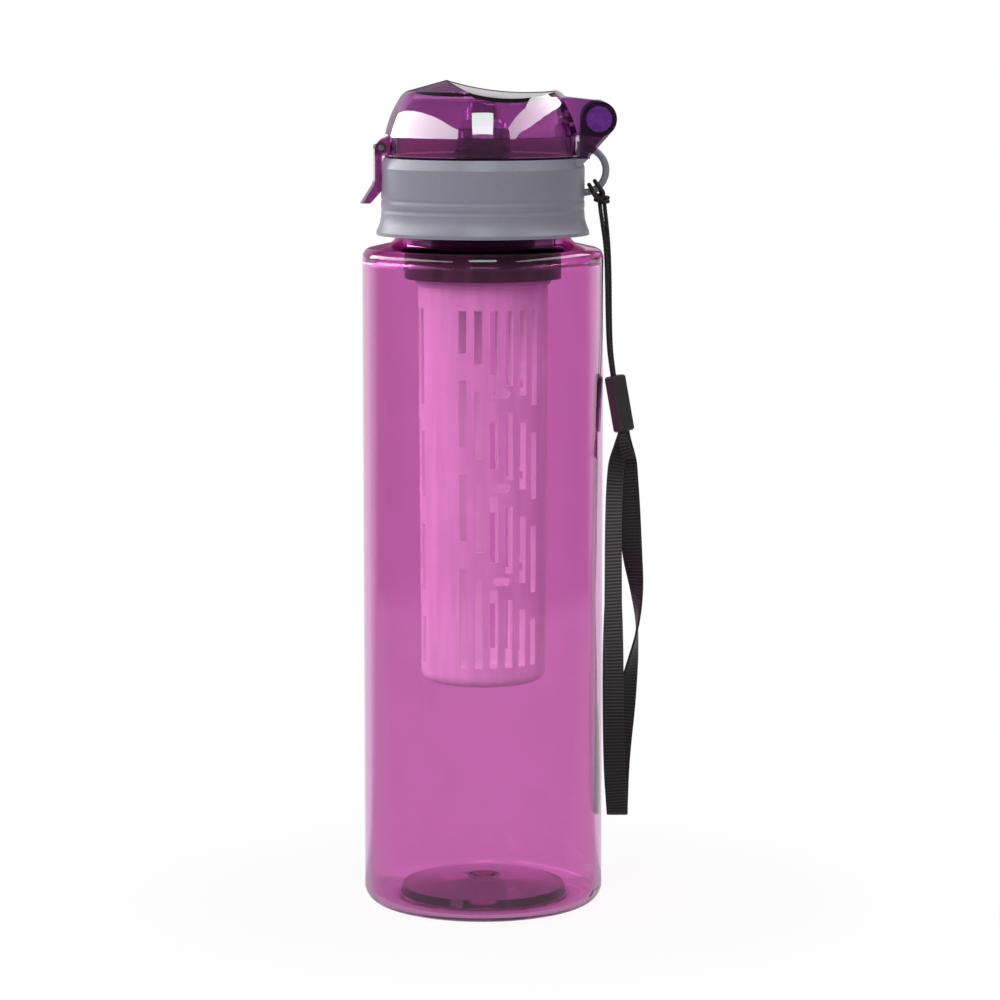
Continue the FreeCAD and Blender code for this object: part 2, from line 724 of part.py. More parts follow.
def make_flip_lid():
    lid_corner = lid_radius - s.lid_corner_inset
    arm_root = lid_radius - s.arm_root_inset
    outer = turned_body("lid_outside", dome_corners(
        lid_radius, lid_bottom + s.lid_skirt_height, lid_corner,
        lid_bottom + s.lid_corner_height, s.lid_crown_rise, lid_bottom))
    round_corner(outer, lid_corner, lid_bottom + s.lid_corner_height, s.lid_corner_radius)
    scoop_lid(outer, "scoop_outside", lid_bottom + s.scoop_low_height, s.scoop_radius)
    arm = new_sketch(outer, "hinge_arm", "XZ_Plane")
    draw(arm, [
        Corner(arm_root, lid_bottom + s.arm_bottom_height),
        Corner(hinge_x, hinge_height - s.hinge_eye_radius),
        Corner(hinge_x, hinge_height + s.hinge_eye_radius),
        Corner(arm_root, lid_bottom + s.arm_top_height),
    ])
    extrude(outer, "Pad", arm, 2 * s.knuckle_half_width, both_sides=True)
    knuckle = new_sketch(outer, "knuckle", "XZ_Plane")
    draw_circle(knuckle, hinge_x, hinge_height, s.hinge_eye_radius)
    extrude(outer, "Pad", knuckle, 2 * s.knuckle_half_width, both_sides=True)
    half_recess = s.latch_half_width + s.latch_side_gap
    recess = new_sketch(outer, "latch_recess", "XZ_Plane")
    draw(recess, box_corners(-(lid_radius + s.cut_overrun), -(lid_radius - s.latch_recess_depth),
                             lid_bottom - s.cut_overrun, lid_bottom + s.latch_recess_height))
    extrude(outer, "Pocket", recess, 2 * half_recess, both_sides=True)
    lug = new_sketch(outer, "latch_lug", "XZ_Plane", offset=half_recess)
    lug_root = -(lid_radius - s.lid_wall)
    draw(lug, [
        Corner(lug_root, lid_bottom),
        Corner(lug_root, latch_pivot_height + s.lug_rise),
        Corner(latch_pivot_x - s.lug_reach / 2, latch_pivot_height + s.lug_reach),
        Corner(latch_pivot_x - s.lug_reach, latch_pivot_height),
        Corner(latch_pivot_x - s.lug_reach, lid_bottom),
    ])
    lug_pad = extrude(outer, "Pad", lug, s.lug_thickness)
    other_lug = outer.newObject("PartDesign::Mirrored", "other_lug")
    other_lug.Originals = [lug_pad]
    other_lug.MirrorPlane = ([f for f in outer.Origin.OriginFeatures if f.Role == "XZ_Plane"][0], [""])
    outer.Tip = other_lug
    for name, x, z, radius in (
        ("knuckle_bore", hinge_x, hinge_height, s.hinge_pin_radius + s.pin_running_gap),
        ("lug_bore", latch_pivot_x, latch_pivot_height, s.latch_pin_radius + s.pin_fit_gap),
    ):
        bore = new_sketch(outer, name, "XZ_Plane")
        draw_circle(bore, x, z, radius)
        extrude(outer, "Pocket", bore, both_sides=True)

    hollow = turned_body("lid_hollow", dome_corners(
        lid_radius - s.lid_wall, lid_bottom + s.lid_skirt_height, lid_corner - s.lid_wall,
        lid_bottom + s.lid_corner_height - s.lid_wall, s.lid_crown_rise, lid_bottom - s.cut_overrun))
    round_corner(hollow, lid_corner - s.lid_wall, lid_bottom + s.lid_corner_height - s.lid_wall,
                 s.lid_corner_radius - s.lid_wall)
    inside_low = lid_bottom + s.scoop_low_height - s.lid_wall
    scoop_lid(hollow, "scoop_inside", inside_low, s.scoop_radius + s.lid_wall)

    shell = document.addObject("Part::Cut", "lid_shell")
    shell.Base = outer
    shell.Tool = hollow
    boss = document.addObject("Part::Cylinder", "lid_boss")
    bind(boss, "Radius", s.lid_boss_radius)
    bind(boss, "Height", lid_bottom + s.scoop_low_height - s.lid_wall / 2 - lid_boss_bottom)
    bind(boss, "Placement.Base.z", lid_boss_bottom)
    boss_bore = document.addObject("Part::Cylinder", "lid_boss_bore")
    bind(boss_bore, "Radius", s.lid_boss_radius - s.lid_boss_wall)
    bind(boss_bore, "Height", inside_low - lid_boss_bottom)
    bind(boss_bore, "Placement.Base.z", lid_boss_bottom)
    tube = document.addObject("Part::Cut", "lid_boss_tube")
    tube.Base = boss
    tube.Tool = boss_bore
    lid = document.addObject("Part::Fuse", "flip_lid")
    lid.Label = "flip_lid"
    lid.Base = shell
    lid.Tool = tube
    return lid


def make_hinge_pin():
    body = new_body("hinge_pin")
    shaft = new_sketch(body, "hinge_shaft", "XZ_Plane", offset=-ear_outer_y)
    draw_circle(shaft, hinge_x, hinge_height, s.hinge_pin_radius)
    extrude(body, "Pad", shaft, 2 * ear_outer_y)
    head = new_sketch(body, "hinge_pin_head", "XZ_Plane", offset=ear_outer_y)
    draw_circle(head, hinge_x, hinge_height, s.hinge_pin_head_radius)
    extrude(body, "Pad", head, s.hinge_pin_head_thickness, flip=True)
    return body


def make_lid_latch():
    body = new_body("lid_latch")
    half_angle = Size(math.degrees(math.asin(s.latch_half_width.value / latch_outer.value)),
                      f"asin({s.latch_half_width.text} / {latch_outer.text})")
    plate = new_sketch(body, "latch_plate", "XZ_Plane")
    plate_top = latch_pivot_height + s.latch_eye_radius / 2
    bend = collar_top - s.latch_bend_drop
    tip_height = bend - s.latch_tip_drop
    tip_x = -(latch_outer + s.latch_tip_reach)
    draw(plate, [
        Corner(-latch_inner, plate_top),
        Corner(-latch_outer, plate_top, s.latch_top_radius),
        Corner(-latch_outer, bend, s.latch_bend_radius),
        Corner(tip_x, tip_height),
        Corner(tip_x + s.latch_tip_thickness, tip_height),
        Corner(-latch_inner, bend - s.latch_thickness),
    ])
    turn_about(body, "Revolution", plate, "V_Axis", 2 * half_angle)
    eye = new_sketch(body, "latch_eye", "XZ_Plane")
    draw_circle(eye, latch_pivot_x, latch_pivot_height, s.latch_eye_radius)
    extrude(body, "Pad", eye, 2 * s.latch_half_width, both_sides=True)
    channel = new_sketch(body, "latch_channel", "XZ_Plane")
    draw(channel, box_corners(-(latch_outer - s.latch_web_thickness), -(latch_inner - s.cut_overrun),
                              tip_height - s.cut_overrun, collar_top))
    turn_about(body, "Groove", channel, "V_Axis", 2 * (s.catch_half_angle + s.latch_gap))
    bore = new_sketch(body, "latch_bore", "XZ_Plane")
    draw_circle(bore, latch_pivot_x, latch_pivot_height, s.latch_pin_radius + s.pin_running_gap)
    extrude(body, "Pocket", bore, both_sides=True)
    return body


def make_latch_pin():
    pin = document.addObject("Part::Cylinder", "latch_pin")
    half_length = s.latch_half_width + s.latch_side_gap + s.lug_thickness
    bind(pin, "Radius", s.latch_pin_radius)
    bind(pin, "Height", 2 * half_length)
    pin.Placement = Placement(Vector(), Rotation(Vector(1, 0, 0), 90))
    bind(pin, "Placement.Base.x", latch_pivot_x)
    bind(pin, "Placement.Base.y", half_length)
    bind(pin, "Placement.Base.z", latch_pivot_height)
    return pin


def make_spout_plug():
    nose_radius = spout_bore - s.plug_nose_gap
    nose_end = spout_top - s.plug_nose_depth
    flange_radius = s.spout_radius - s.plug_flange_inset
    socket_floor = plug_flange_top + s.plug_web_thickness
    socket_radius = s.lid_boss_radius + s.pin_running_gap
    sleeve_radius = socket_radius + s.plug_sleeve_wall
    sleeve_top = socket_floor + s.plug_sleeve_height
    return turned_body("spout_plug", [
        Corner(ZERO, nose_end),
        Corner(nose_radius - s.plug_nose_taper, nose_end),
        Corner(nose_radius, plug_seat),
        Corner(flange_radius, plug_seat),
        Corner(flange_radius, plug_flange_top),
        Corner(sleeve_radius, plug_flange_top),
        Corner(sleeve_radius, sleeve_top),
        Corner(socket_radius, sleeve_top),
        Corner(socket_radius, socket_floor),
        Corner(ZERO, socket_floor),
    ])


def make_neck_gasket():
    return turned_body("neck_gasket", box_corners(
        neck_bore + s.gasket_inset, s.neck_radius + s.gasket_overhang, rim_height, collar_ceiling))


def make_deck_seal():
    seal = document.addObject("Part::Torus", "deck_seal")
    bind(seal, "Radius1", insert_radius - s.seal_groove_depth + s.seal_wire_radius + s.pin_running_gap)
    bind(seal, "Radius2", s.seal_wire_radius)
    bind(seal, "Placement.Base.z", collar_top - s.seal_groove_drop + s.seal_groove_width / 2)
    return seal


def make_infuser_ring():
    bead = s.snap_bead_reach
    half_bead = s.snap_bead_width / 2 + s.pin_running_gap
    groove_radius = rim_radius + s.bayonet_lug_reach + 2 * s.bayonet_gap
    groove_low = bayonet_height - s.bayonet_gap
    groove_high = bayonet_height + s.bayonet_lug_height + s.bayonet_gap
    body = turned_body("infuser_ring", [
        Corner(ring_bore, ring_bottom),
        Corner(insert_radius, ring_bottom),
        Corner(insert_radius, boss_bottom),
        Corner(ring_bore, boss_bottom),
        Corner(ring_bore, snap_bead_height + half_bead),
        Corner(ring_bore + bead, snap_bead_height),
        Corner(ring_bore, snap_bead_height - half_bead),
        Corner(ring_bore, groove_high),
        Corner(groove_radius, groove_high),
        Corner(groove_radius, groove_low),
        Corner(ring_bore, groove_low),
    ])
    entry = new_sketch(body, "bayonet_entry", "XY_Plane", offset=ring_bottom - s.cut_overrun)
    half_width = s.bayonet_lug_half_width + s.bayonet_gap
    draw(entry, box_corners(-groove_radius, -(ring_bore - s.cut_overrun), -half_width, half_width))
    cut = extrude(body, "Pocket", entry, groove_low - ring_bottom + s.cut_overrun, flip=True)
    repeat(body, cut, s.bayonet_lugs)
    return body


def make_infuser_basket():
    tube_top = rim_radius - s.basket_step
    tube_low = tube_top - s.basket_draft
    step_low = rim_bottom - s.basket_step
    body = turned_body("infuser_basket", [
        Corner(ZERO, basket_bottom),
        Corner(tube_low, basket_bottom, s.basket_corner_radius),
        Corner(tube_top, step_low),
        Corner(rim_radius, rim_bottom),
        Corner(rim_radius, rim_top),
        Corner(rim_radius - s.rim_wall, rim_top),
        Corner(rim_radius - s.rim_wall, rim_bottom),
        Corner(tube_top - s.basket_wall, step_low),
        Corner(tube_low - s.basket_wall, basket_bottom + s.basket_wall,
               s.basket_corner_radius - s.basket_wall),
        Corner(ZERO, basket_bottom + s.basket_wall),
    ])
    lug = new_sketch(body, "bayonet_lug", "XY_Plane", offset=bayonet_height)
    draw(lug, box_corners(rim_radius - s.rim_wall / 2, rim_radius + s.bayonet_lug_reach - s.bayonet_gap,
                          -s.bayonet_lug_half_width, s.bayonet_lug_half_width))
    repeat(body, extrude(body, "Pad", lug, s.bayonet_lug_height), s.bayonet_lugs)

    zone_bottom = basket_bottom + s.slot_zone_rise
    zone_top = rim_bottom - s.slot_zone_drop
    half_slot = s.slot_width / 2
    columns = SIZES["slot_columns"]
    for column in range(columns):
        turn = s.basket_panel_turn + (column - (columns - 1) / 2) * s.slot_pitch_angle
        slots = new_sketch(body, f"slot_column_{column}", "XZ_Plane", turn=turn)
        low = zone_bottom
        for band in range(SIZES["slot_bands"]):
            band_low = (zone_bottom + s.slot_band_first + band * s.slot_band_pitch
                        - (column - (columns - 1) / 2) * s.slot_band_slant)
            draw(slots, box_corners(-half_slot, half_slot, low, band_low))
            low = band_low + s.slot_band_height
        draw(slots, box_corners(-half_slot, half_slot, low, zone_top))
        repeat(body, extrude(body, "Pocket", slots, flip=True), s.basket_panels)
    ovals = new_sketch(body, "band_ovals", "XZ_Plane", turn=s.basket_panel_turn)
    for band in range(SIZES["slot_bands"]):
        middle = zone_bottom + s.slot_band_first + band * s.slot_band_pitch + s.slot_band_height / 2
        draw(ovals, box_corners(-s.oval_length / 2, s.oval_length / 2, middle - s.oval_width / 2,
                                middle + s.oval_width / 2, s.oval_width / 2 - s.pin_running_gap))
    repeat(body, extrude(body, "Pocket", ovals, flip=True), s.basket_panels)
    return body


def rounded_path(points):
    """Straight runs joined by tangent arcs as large as the runs allow, and the arcs' radii."""
    edges = []
    radii = []
    start = points[0]
    for before, corner, after in zip(points, points[1:], points[2:]):
        way_in = (corner - before).normalize()
        way_out = (after - corner).normalize()
        cut_back = BEND_SHARE * min((corner - before).Length, (after - corner).Length)
        turn = way_in.getAngle(way_out)
        radii.append(cut_back / math.tan(turn / 2))
        arc_start = corner - way_in * cut_back
        arc_end = corner + way_out * cut_back
        towards_centre = (way_out - way_in).normalize()
        gap = radii[-1] / math.cos(turn / 2) - radii[-1]
        edges.append(Part.LineSegment(start, arc_start).toShape())
        edges.append(Part.Arc(arc_start, corner + towards_centre * gap, arc_end).toShape())
        start = arc_end
    edges.append(Part.LineSegment(start, points[-1]).toShape())
    return Part.Wire(edges), radii


def make_lanyard_cord():
    path, radii = rounded_path([Vector(*point) for point in CORD_ROUTE])
    radius = s.cord_diameter.value / 2
    first = Vector(*CORD_ROUTE[0])
    ring = Part.Circle(first, Vector(*CORD_ROUTE[1]) - first, radius).toShape()
    tube = path.makePipeShell([Part.Wire([ring])], True, False)
    cord = document.addObject("Part::Feature", "lanyard_cord")
    cord.Shape = tube
    volume_share = tube.Volume / (math.pi * radius ** 2 * path.Length)
    print(f"lanyard_cord: length {path.Length:.1f} mm, volume share {volume_share:.4f}")
    print("lanyard_cord radii:", ", ".join(f"{radius:.1f}" for radius in radii))
    return cord


def make_cord_bead():
    body = new_body("cord_bead")
    section = new_sketch(body, "bead_section", "XY_Plane")
    section.AttachmentOffset = Placement(Vector(), Rotation(Vector(0, 0, 1), s.bead_yaw.value))
    bind(section, "AttachmentOffset.Rotation.Angle", s.bead_yaw)
    half_width = s.bead_width / 2
    half_depth = s.bead_depth / 2
    draw(section, box_corners(-half_width, half_width, -half_depth, half_depth, s.bead_edge_radius))
    block = extrude(body, "Pad", section, s.bead_length, flip=True)
    document.recompute()
    ends = [f"Edge{i}" for i, edge in enumerate(block.Shape.Edges, start=1)
            if edge.BoundBox.ZLength < s.bead_end_chamfer.value / 2]
    chamfer = body.newObject("PartDesign::Chamfer", "bead_ends")
    chamfer.Base = (block, ends)
    bind(chamfer, "Size", s.bead_end_chamfer)
    body.Placement = Placement(Vector(), Rotation(Vector(0, -1, 0), s.bead_tilt.value))
    bind(body, "Placement.Rotation.Angle", s.bead_tilt)
    bind(body, "Placement.Base.x", s.bead_top_x)
    bind(body, "Placement.Base.z", s.bead_top_height)
    return body


def strap_turn(share):
    """The strap's turn at a share of its length, on straight lines between the table's rows."""
    for (start, turn_start), (end, turn_end) in zip(STRAP_TURNS, STRAP_TURNS[1:]):
        if share <= end:
            return turn_start + (turn_end - turn_start) * (share - start) / (end - start)


def make_wrist_strap():
    path, radii = rounded_path([Vector(*point) for point in STRAP_ROUTE])
    stations = path.discretize(Number=STRAP_STATIONS + 1)
    lines = [[], [], [], []]
    for i, point in enumerate(stations):
        share = i / STRAP_STATIONS
        along = (stations[min(i + 1, STRAP_STATIONS)] - stations[max(i - 1, 0)]).normalize()
        across = Vector(1, 0, 0) - along * along.x
        across = Rotation(along, strap_turn(share)).multVec(across.normalize())
        spread = min(min(share, 1 - share) / STRAP_SPREAD_SHARE, 1)
        width = s.strap_end_width.value + (s.strap_width.value - s.strap_end_width.value) * spread
        half_wide = across * (width / 2)
        half_thick = along.cross(across) * (s.strap_thickness.value / 2)
        for line, side, face in zip(lines, (1, -1, -1, 1), (1, 1, -1, -1)):
            line.append(point + half_wide * side + half_thick * face)
    faces = []
    for line, neighbour in zip(lines, lines[1:] + lines[:1]):
        for i in range(STRAP_STATIONS):
            edge = Part.makeLine(line[i], line[i + 1])
            faces.append(Part.makeRuledSurface(edge, Part.makeLine(neighbour[i], neighbour[i + 1])))
    for end in (0, -1):
        rim = [line[end] for line in lines]
        faces.append(Part.Face(Part.makePolygon(rim + rim[:1])))
    shell = Part.makeShell(faces)
    shell.sewShape()
    solid = Part.makeSolid(shell)
    if solid.Volume < 0:
        solid.reverse()
    strap = document.addObject("Part::Feature", "wrist_strap")
    strap.Shape = solid
    print(f"wrist_strap: length {path.Length:.1f} mm")
    print("wrist_strap radii:", ", ".join(f"{radius:.1f}" for radius in radii))
    return strap


MAKERS = [
    make_bottle_body, make_screw_collar, make_lid_deck, make_flip_lid, make_hinge_pin, make_lid_latch,
    make_latch_pin, make_spout_plug, make_neck_gasket, make_deck_seal, make_infuser_ring,
    make_infuser_basket, make_lanyard_cord, make_cord_bead, make_wrist_strap,
]

pieces = [make() for make in MAKERS]
document.recompute()

for thing in document.Objects:
    if "Invalid" in thing.State or "Error" in thing.State:
        raise RuntimeError(f"{thing.Name} failed: {thing.State}")
for piece in pieces:
    shape = piece.Shape
    if shape.isNull() or not shape.isValid() or len(shape.Solids) != 1:
        raise RuntimeError(f"{piece.Label} is not one valid solid")

os.makedirs("parts", exist_ok=True)
for piece in pieces:
    piece.Shape.exportStep(f"parts/{piece.Label}.step")
    box = piece.Shape.optimalBoundingBox()
    print(f"{piece.Label}: {piece.Shape.Volume:.0f} mm3, x {box.XMin:.1f} to {box.XMax:.1f}, "
          f"y {box.YMin:.1f} to {box.YMax:.1f}, z {box.ZMin:.1f} to {box.ZMax:.1f}")
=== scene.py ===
# %% [markdown]
# A fruit infuser bottle, dressed for a product picture.
#
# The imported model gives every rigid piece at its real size: the bottle, the screw collar, the flip lid
# with its latch and hinge, the infuser basket and the bead of the wrist lanyard. This script makes the
# soft pieces, which are a cord and a ribbon, gives every piece its finish, and sets up the camera, the
# floor and the lamps.

import math

import bmesh
import bpy
import numpy as np
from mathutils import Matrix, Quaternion, Vector


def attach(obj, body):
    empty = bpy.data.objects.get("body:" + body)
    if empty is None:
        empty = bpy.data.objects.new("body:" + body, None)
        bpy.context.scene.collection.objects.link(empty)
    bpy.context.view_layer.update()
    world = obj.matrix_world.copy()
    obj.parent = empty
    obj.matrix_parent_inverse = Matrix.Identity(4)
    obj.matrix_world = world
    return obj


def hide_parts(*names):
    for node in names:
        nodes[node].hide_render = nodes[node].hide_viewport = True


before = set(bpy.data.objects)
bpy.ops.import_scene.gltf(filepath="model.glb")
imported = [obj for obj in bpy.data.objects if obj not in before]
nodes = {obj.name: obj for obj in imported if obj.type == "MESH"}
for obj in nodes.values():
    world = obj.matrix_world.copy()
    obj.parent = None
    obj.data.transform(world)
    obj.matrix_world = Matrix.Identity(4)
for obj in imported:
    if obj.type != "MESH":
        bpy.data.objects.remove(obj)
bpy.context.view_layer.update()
scene = bpy.context.scene
MM = 0.001
MICRON = 1e-6
print("nodes:", ", ".join(sorted(nodes)))

# %% [markdown]
# The camera stands a little over a metre away and looks down by a few degrees, as for a catalogue
# picture with a long lens. It could be placed by eye, but here its height and tilt follow from one aim
# point near the bottle's axis, so that the tilt is the only angle.

# %% Camera
IMAGE_PX = 1000
FOCAL_PX = 3690
SENSOR_MM = 36.0
AIM = Vector((0.0051, 0.0, 0.1221))
CAMERA_DISTANCE = 1.110
CAMERA_DIP = math.radians(7.4)

camera_data = bpy.data.cameras.new("product_camera")
camera_data.sensor_width = SENSOR_MM
camera_data.lens = SENSOR_MM * FOCAL_PX / IMAGE_PX
camera = bpy.data.objects.new("product_camera", camera_data)
camera.location = AIM + CAMERA_DISTANCE * Vector((0, -math.cos(CAMERA_DIP), math.sin(CAMERA_DIP)))
camera.rotation_euler = (math.pi / 2 - CAMERA_DIP, 0, 0)
scene.collection.objects.link(camera)
scene.camera = camera
print(f"lens {camera_data.lens:.1f} mm")

# %% [markdown]
# The lanyard's cord runs from the bead up to the carry loop, is hitched round the loop's wire and comes
# back beside itself. A simulation could let it hang, but it wouldn't tie the hitch. So its route is a
# list of given points, and a smooth spline that has them as its controls is the cord's middle
# line. The spline is read back as an array, and its points are spaced evenly, because the braid and the
# ribs are counted along the length.

# %% Line of the cord
CORD_ROUTE = [
    (38.9, -0.7, 159.0), (38.1, -0.75, 164.0), (37.5, -0.8, 169.5), (37.2, -0.8, 178.0),
    (37.0, -0.75, 188.0), (36.7, -0.5, 197.5), (35.7, 0.0, 204.6), (35.0, 0.5, 209.3),
    (34.7, 0.9, 212.4), (33.7, 1.9, 213.7), (32.4, 2.1, 215.5), (31.6, 0.9, 216.7),
    (31.6, -0.9, 216.7), (32.3, -2.1, 215.5), (32.9, -2.5, 214.0), (34.2, -2.3, 212.4),
    (36.1, -2.3, 213.7), (35.2, -2.5, 215.5), (34.1, -2.1, 216.6), (33.3, -0.9, 217.8),
    (33.3, 0.9, 217.8), (34.0, 2.1, 216.6), (35.1, 1.9, 214.7), (36.0, 0.9, 213.1),
    (36.3, 0.85, 210.0), (36.9, 0.8, 205.0), (37.6, 0.75, 197.5), (37.9, 0.75, 188.0),
    (38.0, 0.75, 178.0), (38.2, 0.75, 169.5), (38.7, 0.75, 164.0), (39.4, 0.7, 159.0),
]
CORD_SPACING = 0.16 * MM
SPLINE_ORDER = 3
SPLINE_STEPS = 24


def spline_points(name, route_mm):
    """The points of a smooth spline that has the route's points as its control points, in metres."""
    curve = bpy.data.curves.new(name, "CURVE")
    curve.dimensions = "3D"
    curve.resolution_u = SPLINE_STEPS
    spline = curve.splines.new("NURBS")
    spline.points.add(len(route_mm) - 1)
    controls = np.ones((len(route_mm), 4))
    controls[:, :3] = np.array(route_mm) * MM
    spline.points.foreach_set("co", controls.ravel())
    spline.order_u = SPLINE_ORDER
    spline.use_endpoint_u = True
    carrier = bpy.data.objects.new(name, curve)
    scene.collection.objects.link(carrier)
    bpy.context.view_layer.update()
    evaluated = carrier.evaluated_get(bpy.context.evaluated_depsgraph_get())
    mesh = bpy.data.meshes.new_from_object(evaluated)
    points = np.zeros(len(mesh.vertices) * 3)
    mesh.vertices.foreach_get("co", points)
    bpy.data.objects.remove(carrier)
    bpy.data.curves.remove(curve)
    bpy.data.meshes.remove(mesh)
    return points.reshape(-1, 3)


def even_points(points, spacing):
    """The same line with even spacing: each coordinate is interpolated over the length so far."""
    so_far = np.concatenate([[0], np.cumsum(np.linalg.norm(np.diff(points, axis=0), axis=1))])
    wanted = np.linspace(0, so_far[-1], int(so_far[-1] / spacing) + 1)
    line = np.stack([np.interp(wanted, so_far, points[:, axis]) for axis in range(3)], axis=1)
    return line, wanted


cord_line, cord_along = even_points(spline_points("cord_route", CORD_ROUTE), CORD_SPACING)
print(f"cord {cord_along[-1] / MM:.1f} mm, {len(cord_line)} points")

# %% [markdown]
# Cord and ribbon are both a profile carried along a line. A curve with a bevel would do for a plain
# tube, but it has no braid and no ribs. So the rings of points are worked out as one array, and joined
# to a mesh here. The end rings shrink to a point and are merged there, so that the skin is closed.

# %% Rings of points joined to a mesh
POLE_MERGE = 0.1 * MICRON


def unit(vectors):
    """Each vector divided by its own length."""
    return vectors / np.linalg.norm(vectors, axis=-1, keepdims=True)


def doubled_ends(values):
    """The values with the first and the last one twice."""
    return np.concatenate([values[:1], values, values[-1:]])


def end_factor(line):
    """One factor per ring, with doubled ends: 0 at the outer two, which closes them, and 1 between."""
    return np.pad(np.ones(len(line)), 1)


def frames(line, reference):
    """Two directions for each ring, with doubled ends: the side, which is the reference less its part
    along the line, made 1 long, and the cross product of the line's direction with it."""
    tangent = doubled_ends(unit(np.gradient(line, axis=0)))
    side = unit(reference - (tangent @ reference)[:, None] * tangent)
    return side, np.cross(tangent, side)


def ring_piece(name, points, heights):
    """A mesh from rings of points[i, j]: a quad joins each two neighbours of a ring to the same two of
    the next ring, and the last point of a ring is a neighbour of its first. The map's u is the share of
    the way round, and its v is heights[i]."""
    rings, sides = points.shape[:2]
    i, j = np.indices((rings - 1, sides)).reshape(2, -1)
    corners_i = np.stack([i, i, i + 1, i + 1], axis=1)
    corners_j = np.stack([j, j + 1, j + 1, j], axis=1)
    mesh = bpy.data.meshes.new(name)
    mesh.from_pydata(points.reshape(-1, 3), [], corners_i * sides + corners_j % sides)
    uv = np.stack([corners_j / sides, heights[corners_i]], axis=-1)
    mesh.uv_layers.new(name="UVMap").data.foreach_set("uv", uv.astype(np.float32).ravel())
    skin = bmesh.new()
    skin.from_mesh(mesh)
    skin.verts.ensure_lookup_table()
    poles = skin.verts[:sides] + skin.verts[-sides:]
    bmesh.ops.remove_doubles(skin, verts=poles, dist=POLE_MERGE)
    skin.to_mesh(mesh)
    skin.free()
    mesh.polygons.foreach_set("use_smooth", np.ones(len(mesh.polygons), dtype=bool))
    mesh.update()
    piece = bpy.data.objects.new(name, mesh)
    scene.collection.objects.link(piece)
    print(f"{name}: {len(mesh.polygons)} faces")
    return piece


print("rings of the cord:", len(end_factor(cord_line)))

# %% [markdown]
# The cord itself is a thin round braid of eight strands. Modelling each strand would take many faces
# for something a millimetre wide, so the strands are a small wave on the tube's radius: two waves that
# wind in opposite directions cross each other, and their product gives the lozenges of a braid.

# %% Braided cord
CORD_RADIUS = 0.6 * MM
CORD_SIDES = 20
CORD_STRANDS_EACH_WAY = 4
CORD_BRAID_PITCH = 2.4 * MM
CORD_BRAID_DEPTH = 0.07
# a direction that the cord never runs along, to measure the angle round it from
CORD_SIDE = np.array((0.52, 0.33, 0.79))


def make_cord(name, line, along):
    """A tube: point + radius * (cos a * side + sin a * other), the radius waved by crossing strands."""
    side, other = frames(line, CORD_SIDE)
    angle = np.linspace(0, 2 * math.pi, CORD_SIDES, endpoint=False)
    turns = doubled_ends(along) / CORD_BRAID_PITCH
    wind = 2 * math.pi * turns[:, None]
    strands = CORD_STRANDS_EACH_WAY * angle
    wave = np.sin(strands + wind) * np.sin(strands - wind)
    radius = CORD_RADIUS * end_factor(line)[:, None] * (1 + CORD_BRAID_DEPTH * wave)
    ring = np.cos(angle)[:, None] * side[:, None] + np.sin(angle)[:, None] * other[:, None]
    return ring_piece(name, doubled_ends(line)[:, None] + radius[..., None] * ring, turns)


cord = make_cord("braided_cord", cord_line, cord_along)

# %% [markdown]
# Under the loop's wire the hitch is whipped: two turns of the same cord lie round both of its legs.
# They could be part of the cord's own route, but a helix with an oval plan is a formula, and it starts
# and ends behind the legs, where its cut ends don't show.

# %% Whipping of the hitch
WHIP_CENTER = np.array((35.4, 0.9, 212.5)) * MM
WHIP_HALF_WIDTH = 1.85 * MM
WHIP_HALF_DEPTH = 1.2 * MM
WHIP_PITCH = 1.1 * MM
WHIP_TURNS = 2
WHIP_STEPS_PER_TURN = 48

whip_turn = np.linspace(-WHIP_TURNS / 2, WHIP_TURNS / 2, WHIP_STEPS_PER_TURN * WHIP_TURNS)
whip_route = WHIP_CENTER + np.stack([
    WHIP_HALF_WIDTH * np.sin(2 * math.pi * whip_turn),
    WHIP_HALF_DEPTH * np.cos(2 * math.pi * whip_turn),
    WHIP_PITCH * whip_turn,
], axis=1)
whip = make_cord("hitch_whipping", *even_points(whip_route, CORD_SPACING))

# %% [markdown]
# The wrist strap is a flat grosgrain ribbon. It leaves the bead gathered, spreads to its full width,
# folds flat at the bottom and turns over once on its way back up. Cloth simulation would crumple so
# narrow a strip, so the route is again a list of points, and the ribbon's width and turn are functions
# of the length along it.

# %% Line, width and turn of the strap
STRAP_ROUTE = [
    (41.9, -0.7, 143.8), (40.8, -1.4, 138.4), (39.6, -2.8, 131.0), (39.1, -4.2, 118.0),
    (39.1, -5.5, 97.0), (39.1, -6.3, 75.0), (39.2, -6.5, 55.0), (39.6, -6.2, 40.0),
    (40.3, -5.0, 31.0), (40.7, -2.3, 26.0), (40.8, 1.9, 26.0), (41.0, 3.7, 31.0),
    (41.3, 3.7, 40.0), (42.4, 3.3, 53.0), (43.9, 2.8, 64.5), (45.6, 2.3, 74.5),
    (46.8, 2.0, 83.5), (46.5, 1.7, 94.5), (44.8, 1.5, 106.5), (44.1, 1.4, 121.0),
    (43.3, 1.3, 131.0), (42.9, 1.2, 138.4), (42.5, 0.7, 143.8),
]
STRAP_SPACING = 0.14 * MM
STRAP_WIDTH = 6.4 * MM
STRAP_END_WIDTH = 2.8 * MM
STRAP_SPREAD_SHARE = 0.05
# how far the strap is turned about its own line, in degrees, at shares of its length
STRAP_TURN_SHARES = (0.0, 0.22, 0.32, 0.62, 0.875, 1.0)
STRAP_TURNS = (-44.0, -36.0, 0.0, 0.0, 180.0, 180.0)


def smooth_step(values, low, high):
    """0 below low, 1 above high and 3t^2 - 2t^3 between, where t is the share of the way up."""
    share = np.clip((values - low) / (high - low), 0, 1)
    return share * share * (3 - 2 * share)


